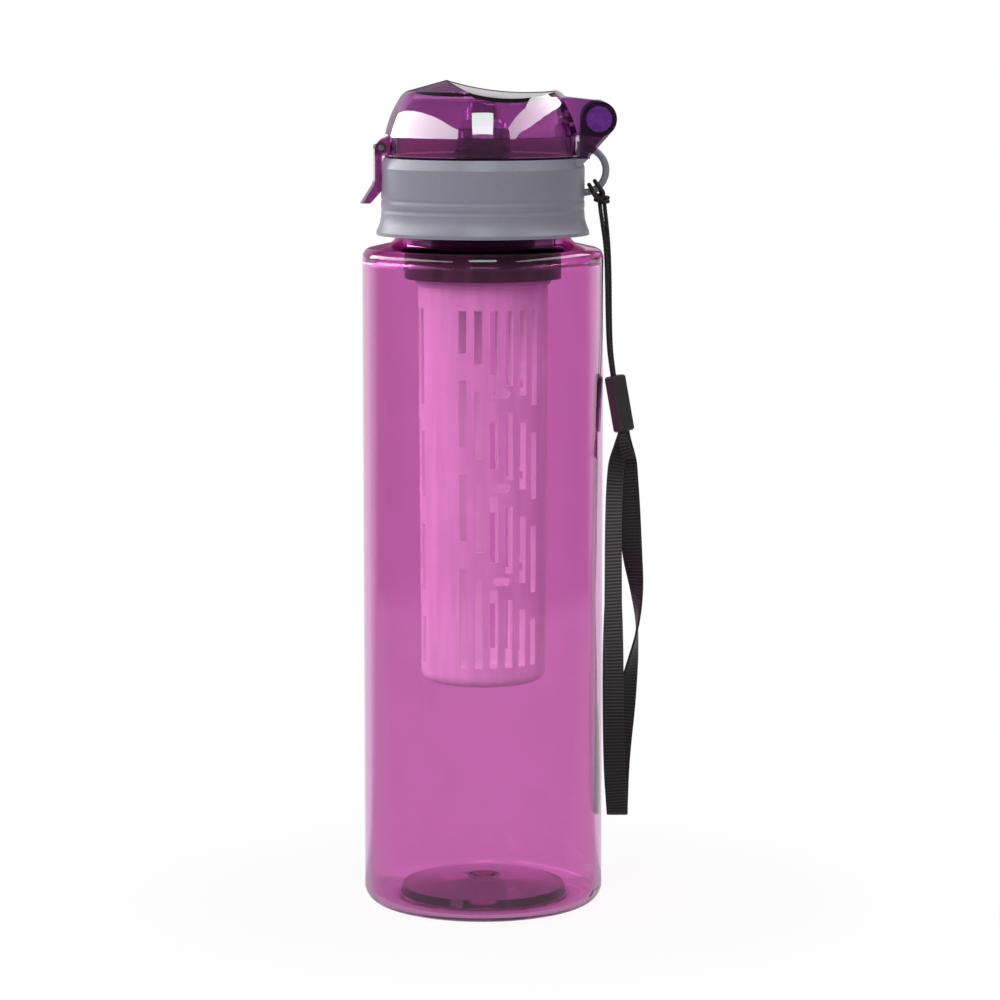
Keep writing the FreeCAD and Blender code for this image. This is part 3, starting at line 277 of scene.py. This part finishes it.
strap_line, strap_along = even_points(spline_points("strap_route", STRAP_ROUTE), STRAP_SPACING)
strap_share = strap_along / strap_along[-1]
strap_spread = smooth_step(np.minimum(strap_share, 1 - strap_share), 0, STRAP_SPREAD_SHARE)
strap_width = STRAP_END_WIDTH + (STRAP_WIDTH - STRAP_END_WIDTH) * strap_spread
strap_turn = np.interp(strap_share, STRAP_TURN_SHARES, STRAP_TURNS)
print(f"strap {strap_along[-1] / MM:.1f} mm, up to {strap_width.max() / MM:.1f} mm wide")

# %% [markdown]
# Grosgrain has thick weft threads that cross its width as ribs, one every millimetre. A bump in the
# material would show them only in its shading, so they are a wave on the thickness of a flat bar with
# round edges, which is carried along the route.

# %% Ribbed ribbon
STRAP_THICKNESS = 0.8 * MM
STRAP_SIDES = 28
STRAP_EDGE_POWER = 0.35
RIB_PITCH = 1.0 * MM
RIB_DEPTH = 0.09 * MM
RIB_EDGE_POWER = 4
# the width of an unturned ribbon lies along x
ACROSS = np.array((1.0, 0.0, 0.0))


def make_ribbon(name, line, along, width, turn):
    """A flat bar: point + half width * c(a) * across + half thickness * s(a) * face, where c and s are
    the cosine and sine of the angle raised to a small power, so that the section is a bar with round
    edges. The section is turned about the line, and the ribs add |sin| of the length, fading out at the
    edges."""
    across, face = frames(line, ACROSS)
    turn = np.radians(doubled_ends(turn))[:, None]
    turned = np.cos(turn) * across + np.sin(turn) * face
    across, face = turned, np.cos(turn) * face - np.sin(turn) * across
    angle = np.linspace(0, 2 * math.pi, STRAP_SIDES, endpoint=False)
    waves = np.cos(angle), np.sin(angle)
    wide, thick = [np.sign(wave) * np.abs(wave) ** STRAP_EDGE_POWER for wave in waves]
    ribs = doubled_ends(along) / RIB_PITCH
    rib = RIB_DEPTH * (np.abs(np.sin(math.pi * ribs)) - 1)
    ends = end_factor(line)[:, None]
    half_wide = ends * doubled_ends(width)[:, None] / 2 * wide
    half_thick = ends * (STRAP_THICKNESS / 2 + rib[:, None] * (1 - wide ** RIB_EDGE_POWER)) * thick
    offset = half_wide[..., None] * across[:, None] + half_thick[..., None] * face[:, None]
    return ring_piece(name, doubled_ends(line)[:, None] + offset, ribs)


strap = make_ribbon("grosgrain_strap", strap_line, strap_along, strap_width, strap_turn)

# %% [markdown]
# The strap's ends are knotted under the bead, and one end sticks out there as a short cut tail. It
# could be cut from the strap's own mesh, but the same ribbon on a route of its own is simpler: gathered
# at the knot, and spreading towards the cut.

# %% Cut end of the strap
TAIL_ROUTE = [(41.9, -1.5, 143.4), (42.0, -2.3, 140.5), (42.6, -2.7, 137.6), (43.6, -2.7, 135.0)]
TAIL_WIDTH = 3.9 * MM
TAIL_TURN = 12.0

tail_line, tail_along = even_points(spline_points("tail_route", TAIL_ROUTE), STRAP_SPACING)
tail_share = tail_along / tail_along[-1]
tail_width = STRAP_END_WIDTH + (TAIL_WIDTH - STRAP_END_WIDTH) * tail_share
tail = make_ribbon("strap_tail", tail_line, tail_along, tail_width, TAIL_TURN * tail_share)

# %% [markdown]
# The world, the floor and every finish are graphs of shader nodes. They could be drawn by hand in the
# node editor, but a few helpers that add a node and wire it up in one line let the script be read from
# top to bottom. The world's own graph starts empty.

# %% Node helpers and an empty world
def node(tree, kind, inputs=None, **settings):
    """A shader node with its settings and inputs, by name or number: a socket is linked, a value set."""
    made = tree.nodes.new("ShaderNode" + kind)
    for name, value in settings.items():
        setattr(made, name, value)
    for name, value in (inputs or {}).items():
        if isinstance(value, bpy.types.NodeSocket):
            tree.links.new(value, made.inputs[name])
        else:
            made.inputs[name].default_value = value
    return made


def ramp(tree, value, low, high, at_low=0.0, at_high=1.0):
    """A smooth step of the value, from at_low at low to at_high at high."""
    span = {"Value": value, "From Min": low, "From Max": high, "To Min": at_low, "To Max": at_high}
    return node(tree, "MapRange", span, interpolation_type="SMOOTHSTEP").outputs["Result"]


def math_node(tree, operation, first, second=0.0):
    """The first value and the second, put together by the operation."""
    return node(tree, "Math", {0: first, 1: second}, operation=operation).outputs[0]


def mix_values(tree, share, first, second):
    """The first value where the share is 0 and the second where it is 1."""
    return node(tree, "Mix", {0: share, 2: first, 3: second}).outputs[0]


def mix_colors(tree, share, first, second, blend="MIX"):
    """The first colour where the share is 0, and where it is 1 the second, or the blend of both."""
    colors = {0: share, 6: first, 7: second}
    return node(tree, "Mix", colors, data_type="RGBA", blend_type=blend).outputs[2]


def mix_shaders(tree, share, first, second):
    """The first shader where the share is 0 and the second where it is 1."""
    return node(tree, "MixShader", {0: share, 1: first, 2: second}).outputs[0]


WHITE = (1, 1, 1)
world = bpy.data.worlds.new("white_studio")
scene.world = world
world.use_nodes = True
sky = world.node_tree
sky.nodes.clear()
print("world:", world.name)

# %% [markdown]
# The studio has white air. Whatever looks past the object, straight or through the plastic, sees white,
# and what falls on the object is the light of a plain grey sky. A room of real walls could give the
# mirror images on the glossy lid, but it would stand in the way of other views. So the world tells
# mirrors what they see by direction: a dark room, with a white sweep behind the object, a grey flat to
# its left and a board over its right half.

# %% World
SKY_LEVEL = 0.35
ROOM_LEVEL = 0.10
# each edge is a pair of shares of a direction, where its blend starts and where it ends
SWEEP_BACK = (0.35, 0.75)
SWEEP_TOP = (-0.03, 0.04)
FLAT_LEFT = (-0.06, -0.2)
FLAT_TOP = (0.3, 0.5)
FLAT_LEVEL = 0.4
BOARD_LEFT = (-0.05, -0.02)
BOARD_BOTTOM = (0.08, 0.14)
BOARD_TOP = (0.25, 0.4)
BOARD_LEVEL = 0.6

rays = node(sky, "LightPath").outputs
heading = node(sky, "SeparateXYZ", {0: node(sky, "TexCoord").outputs["Generated"]}).outputs
sweep = ramp(sky, heading["Z"], *SWEEP_TOP, 1.0, 0.0)
flat = math_node(sky, "MULTIPLY", ramp(sky, heading["X"], *FLAT_LEFT),
                 ramp(sky, heading["Z"], *FLAT_TOP, FLAT_LEVEL, 0.0))
board = math_node(sky, "MULTIPLY", ramp(sky, heading["Z"], *BOARD_BOTTOM),
                  ramp(sky, heading["Z"], *BOARD_TOP, BOARD_LEVEL, 0.0))
board = math_node(sky, "MULTIPLY", ramp(sky, heading["X"], *BOARD_LEFT), board)
white = math_node(sky, "MAXIMUM", sweep, math_node(sky, "MAXIMUM", flat, board))
white = math_node(sky, "MULTIPLY", ramp(sky, heading["Y"], *SWEEP_BACK), white)
mirrored = ramp(sky, white, 0.0, 1.0, ROOM_LEVEL, 1.0)
seen = math_node(sky, "MAXIMUM", rays["Is Camera Ray"], rays["Is Transmission Ray"])
level = mix_values(sky, rays["Is Glossy Ray"], SKY_LEVEL, mirrored)
level = mix_values(sky, seen, level, 1.0)
glow = node(sky, "Background", {"Color": (*WHITE, 1), "Strength": level})
node(sky, "OutputWorld", {"Surface": glow.outputs[0]})
print("sky level", SKY_LEVEL, "and room level", ROOM_LEVEL)

# %% [markdown]
# The bottle stands on a pale table. A cyclorama that curves up behind it would do the same, but under
# white air one square is enough. It lies a hair lower than the bottle's foot, so that the two faces
# don't fight.

# %% Floor
FLOOR_HALF = 4.0
FLOOR_DROP = 0.05 * MM

floor_corners = np.array([(-1, -1, 0), (1, -1, 0), (1, 1, 0), (-1, 1, 0)], float) * FLOOR_HALF
floor_corners[:, 2] = -FLOOR_DROP
floor_mesh = bpy.data.meshes.new("floor")
floor_mesh.from_pydata(floor_corners, [], [(0, 1, 2, 3)])
floor = bpy.data.objects.new("floor", floor_mesh)
scene.collection.objects.link(floor)
print("floor", 2 * FLOOR_HALF, "m wide")

# %% [markdown]
# A white floor under lamps is never quite white in a picture. More light would burn out the bottle, so
# the floor glows white for the eye instead, and keeps a share of real shading near the bottle, where
# its shadow falls. Under the foot, where no light gets in, a dark shade is painted on the floor. Mirrors
# see the table end in front of the bottle.

# %% Finish of the floor
FLOOR_COLOR = 0.9
FLOOR_SHADE_SHARE = 0.12
# distances from the bottle's axis, from which and to which the shade and the painted shade under the foot
# fade
SHADE_FADES = (0.06, 0.16)
FOOT_EDGE = (0.024, 0.030)
# the floor's colour under the foot, a painted shade
UNDER_FOOT_PAINTED_SHADE = 0.06
# the table's front edge, as mirrors see it: at its level up to the first distance, gone at the second
TABLE_EDGE = (0.56, 0.72)
TABLE_LEVEL = 0.5
FRONT_LEVEL = 0.2

floor_finish = bpy.data.materials.new("white_floor")
floor_finish.use_nodes = True
ground = floor_finish.node_tree
ground.nodes.clear()
rays = node(ground, "LightPath").outputs
place = node(ground, "TexCoord").outputs["Object"]
far = node(ground, "VectorMath", {0: place}, operation="LENGTH").outputs["Value"]
bearing = node(ground, "VectorMath", {0: place}, operation="NORMALIZE").outputs[0]
back = node(ground, "SeparateXYZ", {0: bearing}).outputs["Y"]
beside = ramp(ground, far, *FOOT_EDGE)
shade_paint = ramp(ground, beside, 0.0, 1.0, UNDER_FOOT_PAINTED_SHADE, FLOOR_COLOR)
matt = node(ground, "BsdfDiffuse", {"Color": shade_paint})
table = ramp(ground, far, *TABLE_EDGE, TABLE_LEVEL, 0.0)
white = math_node(ground, "MAXIMUM", ramp(ground, back, *SWEEP_BACK), table)
mirrored = ramp(ground, white, 0.0, 1.0, FRONT_LEVEL, 1.0)
level = mix_values(ground, rays["Is Glossy Ray"], 1.0, mirrored)
glow = node(ground, "Emission", {"Color": (*WHITE, 1), "Strength": level})
lit = ramp(ground, far, *SHADE_FADES, 1 - FLOOR_SHADE_SHARE, 1.0)
glow_share = math_node(ground, "MULTIPLY", beside, lit)
seen = math_node(ground, "MAXIMUM", rays["Is Camera Ray"], rays["Is Glossy Ray"])
seen = math_node(ground, "MAXIMUM", seen, rays["Is Transmission Ray"])
glow_share = math_node(ground, "MULTIPLY", seen, glow_share)
shown = mix_shaders(ground, glow_share, matt.outputs[0], glow.outputs[0])
node(ground, "OutputMaterial", {"Surface": shown})
floor_mesh.materials.append(floor_finish)
print("floor colour", FLOOR_COLOR, "with a shade share of", FLOOR_SHADE_SHARE)

# %% [markdown]
# Two long softboxes stand left and right of the bottle, and a small one hangs in front, higher than the
# camera. Their mirror images are the pale shapes on the lid. One lamp can't both light the pieces
# plainly and make so bright an image, so each has a face in front of it that only mirrors see. The long
# faces fade along their width, as the light on a real softbox falls off from its bulb.

# %% Lamps
FACE_OFFSET = 0.01


def rectangle_lamp(name, place, aim, width, height, roll, radiance, color):
    """A rectangular lamp that looks at the aim point, rolled about that line by an angle in degrees;
    its power is radiance times pi times its area."""
    data = bpy.data.lights.new(name, "AREA")
    data.shape = "RECTANGLE"
    data.size = width
    data.size_y = height
    data.energy = radiance * math.pi * width * height
    data.color = color
    lamp = bpy.data.objects.new(name, data)
    lamp.location = place
    turn = (aim - place).to_track_quat("-Z", "Y") @ Quaternion((0, 0, 1), math.radians(roll))
    lamp.rotation_euler = turn.to_euler()
    lamp.visible_camera = False
    scene.collection.objects.link(lamp)
    print(name, round(data.energy, 1), "W")
    return lamp


def softbox(name, place, aim, width, height, radiance, sheen, roll=0.0, face_color=WHITE, fade=()):
    """A soft lamp, and a face of radiance sheen just in front of it that only mirrors see. The face's
    strength runs from the first share of fade to the second, along its width."""
    place, aim = Vector(place), Vector(aim)
    rectangle_lamp(name, place, aim, width, height, roll, radiance, WHITE)
    face_place = place + FACE_OFFSET * (aim - place).normalized()
    face = rectangle_lamp(name + "_face", face_place, aim, width, height, roll, sheen, face_color)
    face.visible_diffuse = False
    face.visible_transmission = False
    if fade:
        face.data.use_nodes = True
        tree = face.data.node_tree
        spot = node(tree, "NewGeometry").outputs["Parametric"]
        along = node(tree, "SeparateXYZ", {0: spot}).outputs["X"]
        tree.links.new(ramp(tree, along, 0.0, 1.0, *fade), tree.nodes["Emission"].inputs["Strength"])


softbox("left_softbox", place=(-0.9, -0.30, 0.70), aim=(0, -0.30, 0.70), width=2.58, height=0.37,
        radiance=4.8, sheen=2.8, roll=12.4, fade=(1.0, 0.05))
softbox("right_softbox", place=(0.9, -0.15, 0.975), aim=(0, -0.15, 0.975), width=2.45, height=0.45,
        radiance=1.4, sheen=4.9, fade=(0.4, 1.0))
softbox("front_softbox", place=(0, -0.81, 0.82), aim=(0, 0, 0.235), width=0.40, height=0.42,
        radiance=5.0, sheen=3.6, face_color=(0.57, 1, 0.72))

# %% [markdown]
# Every finish is one Principled shader with a little life in it. Image textures could give that, but
# they need a map on every piece. A noise in the piece's own space needs none: it varies the roughness
# and the colour, and lifts a shallow bump. The collar's satin grey plastic comes first. Its fine grain
# is that of a mould that was etched.

# %% Finish of the collar
NOISE_RANGE = (0.3, 0.7)
NOISE_DETAIL = 3.0


def surface(name, color, roughness, grain, spread=0.08, tone=0.08, bump=0.0, stretch=(1, 1, 1), **sockets):
    """A finish whose noise has grain waves per metre. The roughness swings by spread and the colour by
    the share tone; bump is the depth in metres; stretch scales the noise along each axis; sockets are
    set on the shader."""
    material = bpy.data.materials.new(name)
    material.use_nodes = True
    tree = material.node_tree
    shader = tree.nodes["Principled BSDF"]
    place = node(tree, "TexCoord").outputs["Object"]
    place = node(tree, "Mapping", {"Vector": place, "Scale": stretch}).outputs[0]
    grains = {"Vector": place, "Scale": grain, "Detail": NOISE_DETAIL}
    height = node(tree, "TexNoise", grains).outputs["Fac"]
    dark, light = [(*np.clip(np.multiply(color, share), 0, 1), 1) for share in (1 - tone, 1 + tone)]
    tint = mix_colors(tree, ramp(tree, height, *NOISE_RANGE), dark, light)
    gloss = ramp(tree, height, *NOISE_RANGE, max(roughness - spread, 0), roughness + spread)
    tree.links.new(tint, shader.inputs["Base Color"])
    tree.links.new(gloss, shader.inputs["Roughness"])
    if bump:
        lift = node(tree, "Bump", {"Height": height, "Distance": bump, "Strength": 1.0})
        tree.links.new(lift.outputs[0], shader.inputs["Normal"])
    for socket, value in sockets.items():
        shader.inputs[socket.replace("_", " ")].default_value = value
    print(f"{name}: roughness {roughness}")
    return material


satin_grey = surface("satin_grey", (0.209, 0.202, 0.258), roughness=0.41, grain=2600, tone=0.05,
                     bump=8 * MICRON)

# %% [markdown]
# The ring that carries the basket is dark plum plastic with upright streaks, the gasket and the seal
# are milky silicone, and of the two pins one is a violet moulding and the other bright steel. Each
# could have its own graph, but the same noise with other numbers is enough for pieces that show so
# little.

# %% Finishes of the ring, the seals and the pins
dark_plum = surface("dark_plum", (0.05, 0.022, 0.04), roughness=0.4, grain=220, tone=0.4,
                    bump=4 * MICRON, stretch=(1, 1, 0.03))
silicone = surface("silicone", (0.66, 0.60, 0.66), roughness=0.5, grain=900, bump=4 * MICRON,
                   Transmission_Weight=0.2)
pin_violet = surface("pin_violet", (0.15, 0.03, 0.28), roughness=0.12, grain=800, tone=0.2,
                     bump=2 * MICRON, Transmission_Weight=0.3)
pin_steel = surface("pin_steel", (0.42, 0.41, 0.44), roughness=0.28, grain=3000, bump=3 * MICRON,
                    Metallic=1.0)

# %% [markdown]
# The basket is frosted plastic, which glows with the light that comes in through the bottle. A real
# caustic would take very long to render. So lamps shine through it as through a tinted film, and only
# the eye sees the frosted face.

# %% Finish of the basket
BASKET_FILM = (0.86, 0.80, 0.84)


def let_light_through(material, shown, color):
    """Shows one shader to the eye, and lets shadow rays through the material, tinted by the colour."""
    tree = material.node_tree
    clear = node(tree, "BsdfTransparent", {"Color": (*color, 1)})
    both = mix_shaders(tree, node(tree, "LightPath").outputs["Is Shadow Ray"], shown, clear.outputs[0])
    tree.links.new(both, tree.nodes["Material Output"].inputs["Surface"])


frosted_pink = surface("frosted_pink", (0.93, 0.91, 0.91), roughness=0.5, grain=260, tone=0.06,
                       bump=5 * MICRON, stretch=(1, 1, 0.12), Transmission_Weight=0.12, IOR=1.45,
                       Specular_IOR_Level=0.25)
frosted_face = frosted_pink.node_tree.nodes["Principled BSDF"].outputs[0]
let_light_through(frosted_pink, frosted_face, BASKET_FILM)

# %% [markdown]
# The bottle is clear purple plastic, two millimetres thick. Glass with a coloured surface would look
# the same all over, so the wall is also filled with an absorbing volume: a long way through the plastic
# is deeper in colour than a short one, as at the bottle's sides. Two zones differ. The neck lies in the
# shade of the collar and of the basket's ring, and that shade is painted on as a deeper tint. The bend of
# the shoulder would catch the light inside its wall and go black, so it is drawn as a thin wall.

# %% Finish of the bottle
WALL_IOR = 1.5
WALL_ROUGHNESS = 0.02
WALL_GRAIN = 60
WALL_SPREAD = 0.015
WALL_TONE = 0.02
WALL_BUMP = 2 * MICRON
COAT_IOR = 1.6
# limits of the zones: an axis, and where along it the zone starts and is whole, in metres
SHADED_NECK = [("Z", 0.1965, 0.1985), ("R", 0.0300, 0.0272)]
# the neck's painted shade: the share that the shaded neck passes
NECK_PAINTED_SHADE = (0.35, 0.25, 0.33)
SHOULDER = [("Z", 0.1935, 0.1950), ("R", 0.0256, 0.0268)]


def zone(tree, limits):
    """1 where every limit is past its end and 0 where one is before its start, in the object's space. A
    limit is X, Y, Z or R, the distance from the upright axis, with its start and its end."""
    place = node(tree, "TexCoord").outputs["Object"]
    spot = node(tree, "SeparateXYZ", {0: place})
    plan = node(tree, "VectorMath", {0: place, 1: (1, 1, 0)}, operation="MULTIPLY").outputs[0]
    radius = node(tree, "VectorMath", {0: plan}, operation="LENGTH").outputs["Value"]
    share = 1.0
    for axis, start, end in limits:
        value = radius if axis == "R" else spot.outputs[axis]
        share = math_node(tree, "MULTIPLY", ramp(tree, value, start, end), share)
    return share


def thin_wall(tree, tint):
    """A straight tinted view, and in front of it a mirror by Fresnel, on the outer side only. The view
    is tinted by the tint's square root, because it goes through both sides of a wall."""
    view = node(tree, "BsdfTransparent", {"Color": (*np.sqrt(tint), 1)})
    gloss = node(tree, "BsdfGlossy", {"Color": (*WHITE, 1), "Roughness": WALL_ROUGHNESS})
    outside = math_node(tree, "SUBTRACT", 1.0, node(tree, "NewGeometry").outputs["Backfacing"])
    mirror = math_node(tree, "MULTIPLY", node(tree, "Fresnel", {"IOR": WALL_IOR}).outputs[0], outside)
    return mix_shaders(tree, mirror, view.outputs[0], gloss.outputs[0])


def clear_plastic(name, tint, depth_color, density, thick=(), thin=(), roughness=WALL_ROUGHNESS, coat=0.0):
    """Clear coloured plastic: the tint is the share that one wall's surfaces pass, and the depth's
    colour and density give the rest. Each thick zone is a tint by place, and some are painted shade; it
    has its limits and the share that it passes, and each thin one its limits."""
    material = surface(name, tint, roughness, WALL_GRAIN, WALL_SPREAD, WALL_TONE, WALL_BUMP,
                       Transmission_Weight=1.0, IOR=WALL_IOR, Coat_Weight=coat, Coat_IOR=COAT_IOR)
    tree = material.node_tree
    shader = tree.nodes["Principled BSDF"]
    for limits, share in thick:
        color = shader.inputs["Base Color"].links[0].from_socket
        deeper = mix_colors(tree, zone(tree, limits), color, (*share, 1), blend="MULTIPLY")
        tree.links.new(deeper, shader.inputs["Base Color"])
    shown = shader.outputs[0]
    for limits in thin:
        shown = mix_shaders(tree, zone(tree, limits), shown, thin_wall(tree, tint))
    let_light_through(material, shown, WHITE)
    fill = node(tree, "VolumeAbsorption", {"Color": (*depth_color, 1), "Density": density})
    tree.links.new(fill.outputs[0], tree.nodes["Material Output"].inputs["Volume"])
    return material


clear_purple = clear_plastic("clear_purple", tint=(0.795, 0.435, 0.71), depth_color=(0.728, 0.05, 0.589),
                             density=120.0, thick=[(SHADED_NECK, NECK_PAINTED_SHADE)], thin=[SHOULDER])

# %% [markdown]
# The lid, its latch and the deck are the same plastic in a deeper purple. The lid is polished, so a
# clear coat strengthens its mirror. Where one wall stands behind another the colour is deeper: at the
# lid's skirt and at the ears of the hinge. From the spout's seat to the hinge the skirt is deeper still,
# where the seat's shade is painted on. The lid's arm is cooler. Each could be a material of its own, but a
# tint by place blends without an edge. The plug is rougher and paler.

# %% Finishes of the lid, the deck and the plug
LID_DEPTH = (0.583, 0.031, 0.555)
LID_DENSITY = 110.0
SKIRT_RISE = ("Z", 0.2345, 0.2280)
SEAT_SHADE_SIDE = ("X", -0.016, -0.004)
ARM_ROOT = ("X", 0.0245, 0.0300)
EARS_ROOT = ("X", 0.0265, 0.0290)
SKIRT_SHARE = (0.78, 0.63, 0.66)
# painted shade of the spout's seat, on the skirt from the seat to the hinge
SEAT_PAINTED_SHADE = (0.72, 0.74, 0.78)
ARM_SHARE = (0.66, 0.95, 0.80)
EARS_SHARE = (0.38, 0.30, 0.40)

lid_tints_and_shade = [([SKIRT_RISE], SKIRT_SHARE), ([SKIRT_RISE, SEAT_SHADE_SIDE], SEAT_PAINTED_SHADE), ([ARM_ROOT], ARM_SHARE)]
lid_purple = clear_plastic("lid_purple", tint=(0.564, 0.240, 0.535), depth_color=LID_DEPTH,
                           density=LID_DENSITY, coat=1.0, thick=lid_tints_and_shade)
deck_purple = clear_plastic("deck_purple", tint=(0.58, 0.45, 0.56), depth_color=LID_DEPTH,
                            density=LID_DENSITY, thick=[([EARS_ROOT], EARS_SHARE)])
plug_purple = clear_plastic("plug_purple", tint=(0.93, 0.88, 0.93), depth_color=(0.70, 0.30, 0.70),
                            density=60.0, roughness=0.1)

# %% [markdown]
# The lanyard is black three times over: a smooth moulded bead, a fibrous cord and a woven ribbon. One
# black would make them look like one material, so they differ in roughness, in the size of their grain
# and in how much they mirror.

# %% Finishes of the lanyard
black_plastic = surface("black_plastic", (0.028, 0.027, 0.029), roughness=0.36, grain=900, spread=0.03,
                        tone=0.1, bump=2 * MICRON)
black_cord = surface("black_cord", (0.020, 0.016, 0.015), roughness=0.55, grain=2400, tone=0.5,
                     bump=15 * MICRON, Specular_IOR_Level=0.2)
black_ribbon = surface("black_ribbon", (0.02, 0.018, 0.018), roughness=0.5, grain=2600, tone=0.3,
                       Specular_IOR_Level=0.15)

# %% [markdown]
# The ribbon's ribs catch the light on their crests, and that light is painted on. A striped image could
# show it, but the ribbon's own map already counts its ribs, so a cosine of that count gives the painted
# highlights, pale lines in step with the mesh.
# The stretch below the bead is painted paler, as light falls on it, and painted shade darkens the
# ribbon before and after it.

# %% Ribs of the ribbon, with painted light and shade
# painted shade between the ribs, and painted highlight on their crests
RIB_SHADOW = (0.040, 0.038, 0.038, 1)
RIB_CREST_HIGHLIGHT = (0.115, 0.109, 0.109, 1)
# the cosine at which a painted highlight starts, and at which it is whole
RIB_LINE = (0.2, -0.98)
# where the painted light below the bead starts and where it ends; the rest takes painted shade
PAINTED_LIGHT_STARTS = (9 * MM, 26 * MM)
PAINTED_LIGHT_ENDS = (40 * MM, 96 * MM)
PAINTED_SHADE_SHARE = (0.30, 0.30, 0.30, 1)

weave = black_ribbon.node_tree
count = node(weave, "SeparateXYZ", {0: node(weave, "TexCoord").outputs["UV"]}).outputs["Y"]
wave = math_node(weave, "COSINE", math_node(weave, "MULTIPLY", count, 2 * math.pi))
rib_highlights = mix_colors(weave, ramp(weave, wave, *RIB_LINE), RIB_SHADOW, RIB_CREST_HIGHLIGHT)
before = ramp(weave, count, *np.divide(PAINTED_LIGHT_STARTS, RIB_PITCH), 1.0, 0.0)
after = ramp(weave, count, *np.divide(PAINTED_LIGHT_ENDS, RIB_PITCH))
painted_shade = math_node(weave, "MAXIMUM", before, after)
shaded_ribs = mix_colors(weave, painted_shade, rib_highlights, PAINTED_SHADE_SHARE, blend="MULTIPLY")
weave.links.new(shaded_ribs, weave.nodes["Principled BSDF"].inputs["Base Color"])
print("ribs on the strap:", round(strap_along[-1] / RIB_PITCH))

# %% [markdown]
# Each piece takes one finish, as each was moulded, stamped or woven from one material. Painting faces
# of one big mesh would do for a picture, but a part in a library is taken apart, so every node keeps
# its own.

# %% Dress the pieces
finishes = {
    "bottle_body": clear_purple, "screw_collar": satin_grey, "flip_lid": lid_purple,
    "lid_deck": deck_purple, "lid_latch": lid_purple, "hinge_pin": pin_violet, "latch_pin": pin_steel,
    "spout_plug": plug_purple, "neck_gasket": silicone, "deck_seal": silicone,
    "infuser_ring": dark_plum, "infuser_basket": frosted_pink, "cord_bead": black_plastic,
}
for node_name, material in finishes.items():
    mesh = nodes[node_name].data
    mesh.materials.clear()
    mesh.materials.append(material)
for piece in (cord, whip):
    piece.data.materials.append(black_cord)
for piece in (strap, tail):
    piece.data.materials.append(black_ribbon)
print("rigid pieces dressed:", len(finishes))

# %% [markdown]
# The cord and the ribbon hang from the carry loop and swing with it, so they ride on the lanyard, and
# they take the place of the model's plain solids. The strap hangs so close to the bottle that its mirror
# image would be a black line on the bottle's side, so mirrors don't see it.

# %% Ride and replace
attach(cord, "lanyard")
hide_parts("lanyard_cord")
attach(whip, "lanyard")
strap.visible_glossy = False
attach(strap, "lanyard")
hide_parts("wrist_strap")
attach(tail, "lanyard")

# %% [markdown]
# Colours go out as they are written, with no film look over them.

# %% Finish
scene.view_settings.view_transform = "Standard"
print("view transform:", scene.view_settings.view_transform)
